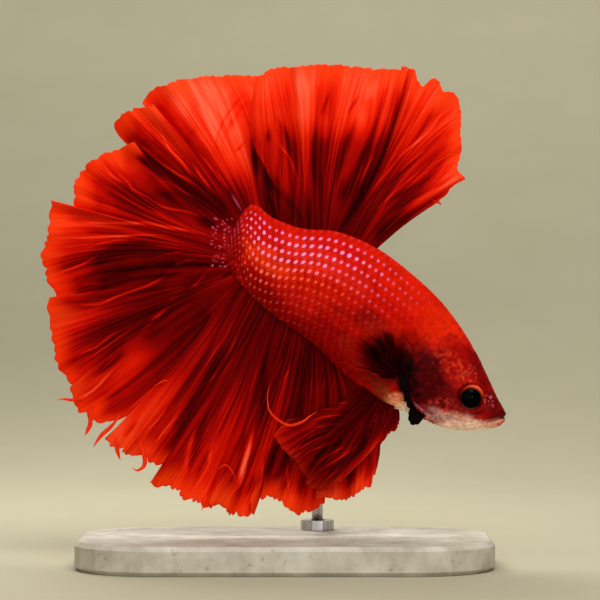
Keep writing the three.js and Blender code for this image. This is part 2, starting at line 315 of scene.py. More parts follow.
# %% Reliefs of the skin
EYE = {"x": 25.84, "z": 23.6, "socket": 1.84}
GILL = {"at": (21.1, 26.3), "size": (3.9, 5.5), "tilt": 14}
MOUTH = ((31.4, 20.78), (30.3, 20.62), (29.3, 20.3), (28.2, 19.95))
JAW_LINE = ((28.2, 19.95), (26.6, 19.85), (24.9, 20.0), (23.2, 20.5), (21.9, 21.3))
UPPER_LIP = {"x": 30.4, "z": 21.6}
NOSTRIL = {"x": 28.55, "z": 23.75, "radius": 0.34}
COAT = {"head": 0.05, "body": 0.16}


def from_line(line, x, z):
    """Distance from a line of points in the side view, and the share along it."""
    line = np.asarray(line, float)
    best = np.full(np.shape(x), 1e9)
    share = np.zeros(np.shape(x))
    for k, (start, end) in enumerate(zip(line, line[1:])):
        run = end - start
        t = np.clip(((x - start[0]) * run[0] + (z - start[1]) * run[1]) / (run @ run), 0, 1)
        gap = np.hypot(x - start[0] - t * run[0], z - start[1] - t * run[1])
        near = gap < best
        best = np.where(near, gap, best)
        share = np.where(near, (k + t) / (len(line) - 1), share)
    return best, share


def oval(x, z, at, size, tilt):
    """How far out a point is on an oval, where 1 is its edge, and the way it lies from the middle."""
    turned = math.radians(tilt)
    dx, dz = x - at[0], z - at[1]
    a = (dx * math.cos(turned) + dz * math.sin(turned)) / size[0]
    b = (dz * math.cos(turned) - dx * math.sin(turned)) / size[1]
    return np.hypot(a, b), a, b


def mouth_relief(x, z):
    """A slit that closes at its corner, with a full lip on each side of it."""
    gap, share = from_line(MOUTH, x, z)
    open_slit = ease(0.0, 0.06, 1 - share)
    slit = 0.4 * hump(gap, 0.13) * open_slit
    lips = 0.16 * hump(gap - 0.42, 0.2) * open_slit * ease(0.0, 0.5, 1 - share)
    return 0.14 * hump(np.hypot(x - UPPER_LIP["x"], z - UPPER_LIP["z"]), 0.5) + lips - slit


def jaw_relief(x, z):
    """The groove between the lower jaw and the cheek."""
    gap, share = from_line(JAW_LINE, x, z)
    return -0.09 * hump(gap, 0.12) * ease(0, 0.2, 1 - share)


def eye_relief(x, z):
    """A socket for the eye, inside a raised rim."""
    from_eye = np.hypot(x - EYE["x"], z - EYE["z"])
    socket = 0.95 * (1 - ease(EYE["socket"] - 0.3, EYE["socket"] + 0.12, from_eye))
    return 0.16 * hump(from_eye - EYE["socket"] - 0.3, 0.15) - socket


def gill_relief(x, z):
    """The gill cover's free rear edge, the groove behind it, and the plate's own line in front."""
    out, a, b = oval(x, z, **GILL)
    rear = ease(0.15, -0.35, a + 0.5 * b)
    edge = 0.34 * ease(1.04, 0.97, out) * ease(0.35, 0.95, out) * rear
    groove = 0.10 * hump(out - 1.1, 0.07) * rear
    return edge - groove - 0.08 * hump(out - 0.6, 0.05) * ease(0.2, -0.3, a)


def nostril_relief(x, z):
    """A small pit with a raised ring around it."""
    gap = np.hypot(x - NOSTRIL["x"], z - NOSTRIL["z"])
    return 0.07 * hump(gap - NOSTRIL["radius"], 0.1) - 0.2 * hump(gap, 0.16)


def relief(x, z, along, turn):
    """How far the skin stands out from the bare loft, in millimetres."""
    flank = np.abs(np.sin(turn))
    height = mouth_relief(x, z) - COAT["head"] - (COAT["body"] - COAT["head"]) * ease(0.36, 0.46, along)
    height += (jaw_relief(x, z) + eye_relief(x, z) + gill_relief(x, z) + nostril_relief(x, z)) * flank
    throat = ease(0.3, 0.85, -np.cos(turn)) * ease(26, 24, x) * ease(17.5, 19, x)
    height += 0.05 * np.sin(2 * np.pi * (x + 0.4 * z) / 0.5) * throat
    return height + 0.035 * cloud(x / 0.55, z / 0.55, 5) * ease(0.4, 0.3, along)


rim_height = relief(*np.array([[27.8], [23.5], [0.2], [1.5]]))[0]
print("socket rim stands", round(float(rim_height), 3), "mm")

# %% [markdown]
# ## The markings
# The colours of skin and scales come from one painter's list: a ground colour, and soft oval
# strokes laid over it, each with a place in the side view, a size, a tilt and a strength. Both
# the skin and the scales ask this function, so the markings run on under the scales. A few of
# the strokes are not markings but painted shade and light, and say so where they stand.

# %% Markings
# BACK is laid along the top of the body: partly the fish's own lighter red, partly painted light from above
GROUND, BACK = (186, 16, 4), (208, 30, 8)
THROAT = {"at": (24.6, 19.7), "size": (5.4, 1.3), "tilt": -4}
THROAT_LINE_GAP = 0.46
#   x, z, half length, half height, tilt, colour, strength
STROKES = (
    (3.0, 44.5, 12.0, 3.2, -10, (206, 22, 6), 0.8),
    (16.5, 39.5, 9.0, 3.0, -45, (204, 26, 6), 0.9),
    (22.5, 33.5, 3.6, 4.2, -50, (206, 32, 6), 0.9),
    (23.6, 30.3, 2.4, 1.6, -50, (148, 8, 5), 0.75),
    (-7.8, 44.6, 2.0, 5.6, 0, (132, 5, 8), 0.8),
    # painted highlight: an orange glow on the rear of the flank
    (-1.8, 42.2, 4.4, 1.8, -38, (232, 54, 8), 0.75),
    (4.0, 39.0, 5.5, 1.7, -36, (204, 30, 8), 0.35),
    # darker red along the belly: partly the fish's own colour, partly painted shade under the light from
    # above
    (4.6, 32.6, 11.5, 3.1, -42, (140, 5, 5), 0.88),
    (11.6, 34.0, 2.6, 2.0, -35, (108, 8, 6), 0.72),
    (8.6, 31.0, 1.6, 1.3, -40, (152, 24, 14), 0.6),
    (1.6, 37.6, 4.4, 2.0, -42, (200, 24, 12), 0.6),
    (3.6, 43.0, 5.0, 2.0, -30, (228, 46, 22), 0.6),
    (8.4, 40.6, 4.5, 2.0, -40, (216, 36, 18), 0.55),
    (8.2, 35.2, 2.6, 1.3, -38, (136, 6, 6), 0.5),
    (-3.8, 38.9, 4.2, 1.5, -45, (128, 4, 6), 0.7),
    (13.6, 32.6, 3.4, 1.6, -20, (170, 26, 12), 0.5),
    (12.4, 26.8, 3.4, 1.5, -42, (118, 16, 10), 0.85),
    # these two strokes are painted shadow: the dark patch on the body behind the gill cover, around the
    # pectoral fin's root, with a black core
    (14.6, 29.4, 3.8, 3.0, -30, (62, 2, 2), 0.9),
    (15.4, 28.4, 2.4, 2.4, 0, (24, 1, 1), 0.9),
    # painted shade: a dark red streak rising from that patch along the gill opening
    (17.4, 30.4, 2.2, 2.8, 20, (92, 3, 3), 0.55),
    (20.2, 26.2, 3.5, 4.8, 12, (46, 1, 3), 0.94),
    # painted shade: the black band in the gill opening along the cover's rear edge
    (16.9, 26.6, 1.7, 4.4, 12, (16, 1, 2), 0.96),
    (24.9, 27.9, 2.8, 3.2, 30, (150, 9, 5), 0.85),
    (27.4, 26.6, 4.6, 1.1, -66, (112, 5, 5), 0.85),
    (22.7, 23.6, 1.9, 2.0, -10, (96, 6, 8), 0.85),
    (29.3, 22.3, 1.6, 2.1, 25, (96, 7, 9), 0.96),
    (25.8, 22.6, 3.2, 2.7, 0, (108, 6, 9), 0.88),
    (24.4, 26.2, 2.6, 1.4, -20, (150, 12, 10), 0.5),
    (23.6, 20.2, 3.8, 1.3, -10, (250, 182, 156), 0.85),
    (25.6, 19.45, 4.6, 0.95, 0, (255, 212, 184), 0.98),
    (22.0, 21.0, 2.4, 0.7, -30, (214, 170, 164), 0.6),
    (19.9, 21.15, 2.4, 0.24, -38, (176, 140, 160), 0.6),
    (29.1, 20.1, 1.7, 0.5, 18, (244, 158, 136), 0.95),
    (30.5, 21.0, 0.7, 0.5, 0, (104, 10, 14), 0.9),
    (29.3, 20.95, 1.6, 0.42, 18, (74, 5, 8), 0.8),
    (13.8, 24.0, 1.9, 0.9, -42, (146, 52, 22), 0.85),
    (15.6, 22.5, 1.9, 1.3, -42, (252, 158, 112), 0.92),
    (16.7, 21.5, 1.5, 1.1, -42, (255, 236, 196), 0.97),
)
#   x, z, half length, half height, tilt, fleck size, seed, colour, strength
FLECKS = (
    (22.9, 28.1, 3.2, 1.7, -42, 0.36, 15, (228, 62, 26), 0.42),
    (25.3, 27.1, 1.7, 1.3, -50, 0.24, 25, (240, 92, 62), 0.4),
    (20.5, 26.5, 3.4, 4.4, 10, 0.50, 16, (92, 5, 12), 0.6),
    (28.3, 23.0, 0.9, 1.3, 25, 0.20, 17, (220, 104, 104), 0.45),
    (22.6, 22.2, 2.8, 1.3, -14, 0.30, 18, (196, 60, 44), 0.5),
    (24.4, 21.2, 3.4, 0.8, -14, 0.24, 26, (190, 60, 46), 0.5),
    (14.4, 23.6, 3.6, 1.5, -40, 0.24, 19, (120, 44, 16), 0.5),
    (22.6, 20.6, 2.8, 0.8, -20, 0.22, 20, (112, 64, 62), 0.45),
    (20.4, 21.0, 2.4, 0.9, -38, 0.18, 28, (58, 10, 18), 0.7),
)


def laid_over(colour, share, shade):
    """A colour with a paint chart's colour laid over it, by a share for each point."""
    share = share[:, None]
    return colour * (1 - share) + tint(*shade) * share


def throat_lines(x, z):
    """The thin dark lines along the pale throat, from 0 to 1."""
    inside = ease(1.2, 0.8, oval(x, z, **THROAT)[0])
    waves = (z - 0.08 * (x - 24) + 0.16 * cloud(x / 1.4, z / 0.9, 13)) / THROAT_LINE_GAP
    return inside * ease(0.1, 0.9, np.sin(2 * np.pi * waves)) * ease(-0.6, 0.6, cloud(x / 0.8, z / 0.3, 14))


def paint(x, z, turn):
    """The colour of the skin at each point."""
    # lighter red along the back: partly the fish's own colour, partly painted light from above
    colour = laid_over(tint(*GROUND), 0.5 * ease(0.75, 1.0, np.cos(turn)), BACK)
    fine = 0.12 * cloud(x / 0.3, z / 0.3, 12)
    for at_x, at_z, length, height, tilt, shade, strength in STROKES:
        ragged = 0.16 * cloud(x / 0.8 + at_x, z / 0.8, 11) + fine
        out = oval(x, z, (at_x, at_z), (length, height), tilt)[0] + ragged
        colour = laid_over(colour, strength * ease(1.3, 0.5, out), shade)
    for at_x, at_z, length, height, tilt, size, seed, shade, strength in FLECKS:
        inside = ease(1.2, 0.7, oval(x, z, (at_x, at_z), (length, height), tilt)[0])
        flecked = ease(-0.1, 0.8, cloud(x / size, z / size, seed))
        colour = laid_over(colour, strength * inside * flecked, shade)
    # the mouth's slit is darkened as painted shade in the crease
    slit = hump(from_line(MOUTH, x, z)[0], 0.1) * ease(27.6, 28.6, x)
    level = 1 + 0.16 * cloud(x / 0.5, z / 0.5, 24) + 0.12 * cloud(x / 0.2, z / 0.2, 27)
    level *= (1 - 0.2 * throat_lines(x, z)) * (1 - 0.75 * slit)
    return colour * level[:, None]


print(len(STROKES), "strokes and", len(FLECKS), "patches of flecks")

# %% [markdown]
# ## The skin
# One closed skin stands for all the solids of flesh, so no seam shows at the jaw or the gills.
# It starts as a sphere whose rings become the stations' rings. It lies inside the solids by the
# depth of the coat. Its map is unrolled along the belly: u runs along the body, v round it.


# %% The skin
def skin_map(mesh, along, turn):
    """Unrolls the skin, and keeps the faces at the belly's seam and at the two ends whole."""
    corners = corners_of(mesh)
    starts = np.empty(len(mesh.polygons), int)
    mesh.polygons.foreach_get("loop_start", starts)
    face = np.repeat(np.arange(len(starts)), np.diff(np.append(starts, len(corners))))
    u, v = along[corners], turn[corners] / (2 * np.pi) + 0.5
    at_end = (u < 1e-6) | (u > 1 - 1e-6)
    highest = np.maximum.reduceat(np.where(at_end, 0, v), starts)[face]
    v = np.where(~at_end & (highest - v > 0.5), v + 1, v)
    total = np.add.reduceat(np.where(at_end, 0, v), starts)
    count = np.maximum(1, np.add.reduceat(np.where(at_end, 0, 1), starts))
    v = np.where(at_end, (total / count)[face], v)
    layer = mesh.uv_layers.new(name="OFBake")
    places = np.c_[BAKE["margin"] + BAKE["wide"] * u, BAKE["margin"] + BAKE["round"] * v]
    layer.data.foreach_set("uv", places.ravel())


def skin_mesh():
    """The painted skin, and the same skin as a bmesh to measure from."""
    mesh, ball = ball_mesh("skin", 220, 300)
    along = np.arccos(np.clip(ball[:, 2], -1, 1)) / np.pi
    turn = np.arctan2(-ball[:, 1], ball[:, 0])
    bare = flesh(along, turn)
    height = relief(bare[:, 0], bare[:, 2], along, turn)
    move_points(mesh, bare + outwards(along, turn) * height[:, None])
    write_colour(mesh, "paint", paint(bare[:, 0], bare[:, 2], turn))
    skin_map(mesh, along, turn)
    bm = bmesh.new()
    bm.from_mesh(mesh)
    bmesh.ops.recalc_face_normals(bm, faces=bm.faces[:])
    bm.to_mesh(mesh)
    return mesh, bm


skin_surface, bm = skin_mesh()
skin_tree = BVHTree.FromBMesh(bm)
bm.free()
FLESH_NODES = ("head", "lower_jaw", "trunk", "tail_stem", "gill_cover_right", "gill_cover_left")
skin = show(skin_surface, FLESH_NODES)


def flank_at(x, z):
    """Where the skin's right flank lies at places of the side view, as y in millimetres."""
    found = []
    for at_x, at_z in zip(x, z):
        start = Vector((at_x * MM, -20 * MM, at_z * MM))
        hit = skin_tree.ray_cast(start, Vector((0, 1, 0)))[0]
        if hit is None:
            hit = skin_tree.find_nearest(Vector((at_x * MM, 0, at_z * MM)))[0]
        found.append(hit.y / MM)
    return np.array(found)


# %% [markdown]
# ## The eyes
# A betta's eye is a flattened ball with a domed clear front. The pupil is black and nearly fills
# it, inside a narrow dark red ring with an orange crescent above. Ball and ring are one mesh
# here, and the ring is drawn by the material from the distance to the eye's axis. The crescent
# is a painted highlight, on the side of the ring that faces the key light.


# %% Eyes
#   pupil_low: how far the pupil sits below the middle; dome: the clear front's height; in mm
EYEBALL = {"pupil_low": 0.12, "dome": 0.10, "fit": 0.985}
# the direction of the key light, towards which the ring's painted highlight turns
TOWARDS_LIGHT = (0.35, 0, 0.94)


def eye_mesh(name):
    """An eyeball in its solid's box, with what its material reads at each point."""
    low, high = (np.array(corner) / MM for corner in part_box(name))
    centre, radius = (low + high) / 2, (high - low) / 2
    mesh, ball = ball_mesh(name + "_ball", 72, 48)
    out = 1 if "left" in name else -1
    size = radius[0] * EYEBALL["fit"]
    front = ball[:, 2] * radius[1] + EYEBALL["dome"] * ease(0.62, 0.95, ball[:, 2])
    places = np.stack([ball[:, 0] * size, out * front, out * ball[:, 1] * size], -1)
    write_value(mesh, "from_axis", np.hypot(places[:, 0], places[:, 2] + EYEBALL["pupil_low"]))
    write_value(mesh, "upper", (places / size) @ np.array(TOWARDS_LIGHT))
    move_points(mesh, centre + places)
    return mesh


eyes = [show(eye_mesh(name), (name,)) for name in ("eye_right", "eye_left")]

# %% [markdown]
# ## The gill membranes
# From under the rear edge of each gill cover a soft black frill looks out. It is a thin sheet with
# a torn edge, widest under the throat, where it hangs a little below the head. A grid is laid
# along the cover's edge and drawn outwards, and Solidify gives it its thickness.

# %% Gill membranes
#   x and z of each point of the edge that the frill grows from, from the top down
# The frill is the dark gill membrane; along the middle of the cover's edge its black sheet also stands for
# the shade in the gill opening.
FRILL = ((17.1, 28.3), (16.9, 26.2), (17.1, 23.8), (18.0, 22.0), (19.7, 20.7))
FRILL_THICK = 0.12
FRILL_TUCKED = 0.35


def thicken(piece, thickness, weights=None, thinnest=1.0):
    """Gives a sheet its thickness to both sides, less where the weights are low."""
    solid = piece.modifiers.new("thickness", "SOLIDIFY")
    solid.thickness = thickness * MM
    solid.offset = 0
    if weights is None:
        return
    weighted = piece.vertex_groups.new(name="thickness")
    for index, weight in enumerate(weights.tolist()):
        weighted.add([index], weight, "REPLACE")
    solid.vertex_group = weighted.name
    solid.thickness_vertex_group = thinnest


def gill_frill(side_name, side):
    """A torn sheet that hangs out from under one gill cover."""
    mesh, u, v = grid_mesh("gill_frill_" + side_name, 90, 16)
    edge = through(FRILL, u)
    away = edge - (GILL["at"][0] + 0.6, GILL["at"][1])
    away /= np.linalg.norm(away, axis=1, keepdims=True)
    torn = 0.30 * wander(u * 9, 3) + 0.22 * wander(u * 26, 4) + 0.12 * wander(u * 60, 6)
    width = FRILL_TUCKED + 1.0 * hump(u - 0.3, 0.22) + 1.8 * hump(u - 0.86, 0.1) + torn * ease(0, 0.1, u)
    width *= ease(0, 0.25, u) * ease(0, 0.08, 1 - u)
    place = edge + away * (width * v - FRILL_TUCKED)[:, None]
    rest = -flank_at(edge[:, 0], edge[:, 1])
    ruffle = 0.16 * wander(u * 14, 8) * v + 0.07 * wander(u * 40, 9) * v
    y = side * (rest + 0.16 + 0.2 * v - 0.6 * v * v * hump(u - 0.8, 0.15) + ruffle)
    move_points(mesh, np.stack([place[:, 0], y, place[:, 1]], -1))
    piece = show(mesh, ("gill_membrane_" + side_name,))
    thicken(piece, FRILL_THICK)
    return piece


frills = [gill_frill("right", -1), gill_frill("left", 1)]

# %% [markdown]
# ## The scales
# The body wears rows of thin scales, half staggered like roof tiles, each with its free edge to
# the rear. Geometry Nodes could scatter them, but they have to follow two measures at once, the
# length along the flank and the way down from the back, so one scale is modelled with an
# operator, and all its copies are wrapped on the loft with a table of distances. Steps to the
# side count for less than half there, because the rows of a flank grow wider towards the back.

# %% The lie of the coat
COAT_STARTS, COAT_ENDS = 0.335, 0.955
PITCH = {"along": 1.07, "down": 1.36}
SIDEWAYS = 0.45
FLANK_DEGREES = 70
TABLE_STEP = 0.1
ALONGS = np.linspace(COAT_STARTS - 0.05, COAT_ENDS + 0.02, 320)
TURNS = np.linspace(0, np.pi, 181)


def flank_tables():
    """Lengths along the flank, and ways down from the back with the turn at each of them."""
    sheet = flesh(ALONGS[:, None], TURNS[None, :])
    steps_down = np.linalg.norm(np.diff(sheet, axis=1) * (1, SIDEWAYS, 1), axis=2)
    girths = np.c_[np.zeros(len(ALONGS)), np.cumsum(steps_down, axis=1)]
    steps_back = np.linalg.norm(np.diff(sheet[:, FLANK_DEGREES], axis=0), axis=1)
    ways_down = np.arange(0, girths.max() + 2, TABLE_STEP)
    turns = np.array([np.interp(ways_down, girth, TURNS) for girth in girths])
    return np.append(0, np.cumsum(steps_back)), girths, turns


FLANK, GIRTH, TURN_AT = flank_tables()
print("flank", FLANK[-1].round(1), "mm long, half girth up to", GIRTH.max().round(1), "mm")


def on_flank(length, depth):
    """Along and turn of a point so far along the flank and so far down from the back."""
    place = np.interp(length, FLANK, np.arange(len(FLANK)))
    row = np.minimum(place.astype(int), len(FLANK) - 2)
    column = np.minimum((np.abs(depth) / TABLE_STEP).astype(int), TURN_AT.shape[1] - 2)
    down = np.abs(depth) / TABLE_STEP - column
    part = place - row
    near = TURN_AT[row, column] * (1 - down) + TURN_AT[row, column + 1] * down
    far = TURN_AT[row + 1, column] * (1 - down) + TURN_AT[row + 1, column + 1] * down
    along = np.interp(place, np.arange(len(FLANK)), ALONGS)
    return along, np.sign(depth) * (near * (1 - part) + far * part)


# %% [markdown]
# One scale is a small rounded plate: flat and hidden at its root, a little raised and domed at
# its free end. Its shape is made once, in shares of its own length and width. The grid is
# rounded in outline, and bmesh's solidify closes it.


# %% One scale
SCALE = {"cells": 5, "ends": 0.3, "roundness": 2.6, "thickness": 0.06}


def scale_shape():
    """The points of one plate, in shares of its length and half width, and its faces."""
    bm = bmesh.new()
    bmesh.ops.create_grid(bm, x_segments=SCALE["cells"], y_segments=SCALE["cells"], size=0.5)
    for vert in bm.verts:
        x, y = vert.co.x + 0.5, 2 * vert.co.y
        outline = (1 - abs(2 * x - 1) ** SCALE["roundness"]) ** 0.5 if 0 < x < 1 else 0
        vert.co = (x, y * (SCALE["ends"] + (1 - SCALE["ends"]) * outline), 0)
    bmesh.ops.solidify(bm, geom=bm.faces[:], thickness=SCALE["thickness"])
    bmesh.ops.recalc_face_normals(bm, faces=bm.faces[:])
    return parts_of(bm)


SCALE_POINTS, SCALE_FACES = scale_shape()
print("one scale", len(SCALE_FACES), "faces")


# %% All the scales of one flank
BREAST = {"at": (14.4, 24.2), "size": (5.0, 2.6), "tilt": -40}
PLATE = {"length": 1.72, "half_width": 1.02, "ahead": 0.3}
BAKE_PATCH = 0.003


def bare_head(length, depth):
    """True on the cheek, the gill cover and the breast, which have no plates."""
    x, _, z = flesh(*on_flank(np.array([length]), np.array([depth])))[0]
    on_cover = oval(x, z, **GILL)[0] < 1.08
    on_breast = oval(x, z, **BREAST)[0] < 1
    return on_cover or on_breast or (x > 16.5 and z < 31.5 - 0.35 * (x - 16.5))


def scale_roots():
    """Length, depth, size and row of every scale of a flank; they are small at the stem's end."""
    roots = []
    length = 0.4
    while length < FLANK[-1] - 0.5:
        girth = float(np.interp(length, FLANK, GIRTH[:, -1]))
        at_stem = ease(0.8, 0.98, length / FLANK[-1])
        small = (0.72 + 0.28 * girth / GIRTH.max()) * (1 - 0.35 * at_stem)
        rows = int(girth / (PITCH["down"] * small) + 0.6)
        for row in range(rows):
            stagger = 0.5 * PITCH["along"] * small * (row % 2)
            depth = (row + 0.45) * PITCH["down"] * small
            if not bare_head(length + stagger, depth):
                roots.append((length + stagger, depth, small, row))
        length += PITCH["along"] * small
    return np.array(roots)


def pearls(row, share_back, chance):
    """How bright and how warm each scale's pearl is: brightest on the rows below the back."""
    bright = (0.1 + 0.6 * ease(0.1, 0.9, row) + 0.35 * ease(1, 2, row)) * (1 - 0.66 * ease(5, 8.5, row))
    bright *= ease(0.16, 0.62, share_back - 0.02 * row) * (1 - 0.7 * ease(0.86, 0.95, share_back))
    bright = np.clip(bright * chance.uniform(0.7, 1.2, len(row)), 0, 1)
    warm = ease(3.2, 6.0, row) * ease(0.1, 0.6, share_back) + 0.2 * chance.uniform(-1, 1, len(row))
    warm += 0.8 * (row < 0.5) * ease(0.5, 0.7, share_back)
    return bright, np.clip(warm, 0, 1)


def scale_coat(side_name, side):
    """All the scales of one flank as one mesh, each a copy of the plate wrapped on the loft."""
    roots = scale_roots()
    count = len(roots)
    length, depth, small, row = roots.T[:, :, None]
    chance = np.random.default_rng(21)
    size = small * chance.uniform(0.95, 1.05, small.shape)
    x, y, z = SCALE_POINTS.T
    at_length = length + (x * PLATE["length"] * size - PLATE["ahead"])
    at_depth = depth + y * PLATE["half_width"] * size
    along, turn = on_flank(at_length.ravel(), at_depth.ravel())
    turn = turn * side
    share_back = length / FLANK[-1]
    lift = (0.03 + 0.07 * x - 0.03 * y ** 2 + z * 0.9) * (0.4 + 0.6 * ease(0.05, 0.4, share_back))
    inset = (lift * size).ravel() - COAT["body"]
    bare = flesh(along, turn)
    points = bare + outwards(along, turn) * inset[:, None]
    mesh = mesh_of_copies("scales_" + side_name, points, SCALE_FACES, count)
    write_colour(mesh, "paint", paint(bare[:, 0], bare[:, 2], turn))
    bright, warm = pearls(row.ravel(), share_back.ravel(), chance)
    write_value(mesh, "gleam", np.repeat(bright, len(x)))
    write_value(mesh, "warm", np.repeat(warm, len(x)))
    write_map(mesh, "plate", np.tile(x, count), np.tile(y, count))
    root_along, root_turn = on_flank(length + 0.5, depth)
    bake_u = BAKE["margin"] + BAKE["wide"] * root_along + BAKE_PATCH * (x - 0.5)
    way_round = root_turn * side / (2 * np.pi) + 0.5
    bake_v = BAKE["margin"] + BAKE["round"] * way_round + BAKE_PATCH * 0.5 * y
    write_map(mesh, "OFBake", bake_u.ravel(), bake_v.ravel())
    return show(mesh)


scales = [scale_coat("right", -1), scale_coat("left", 1)]
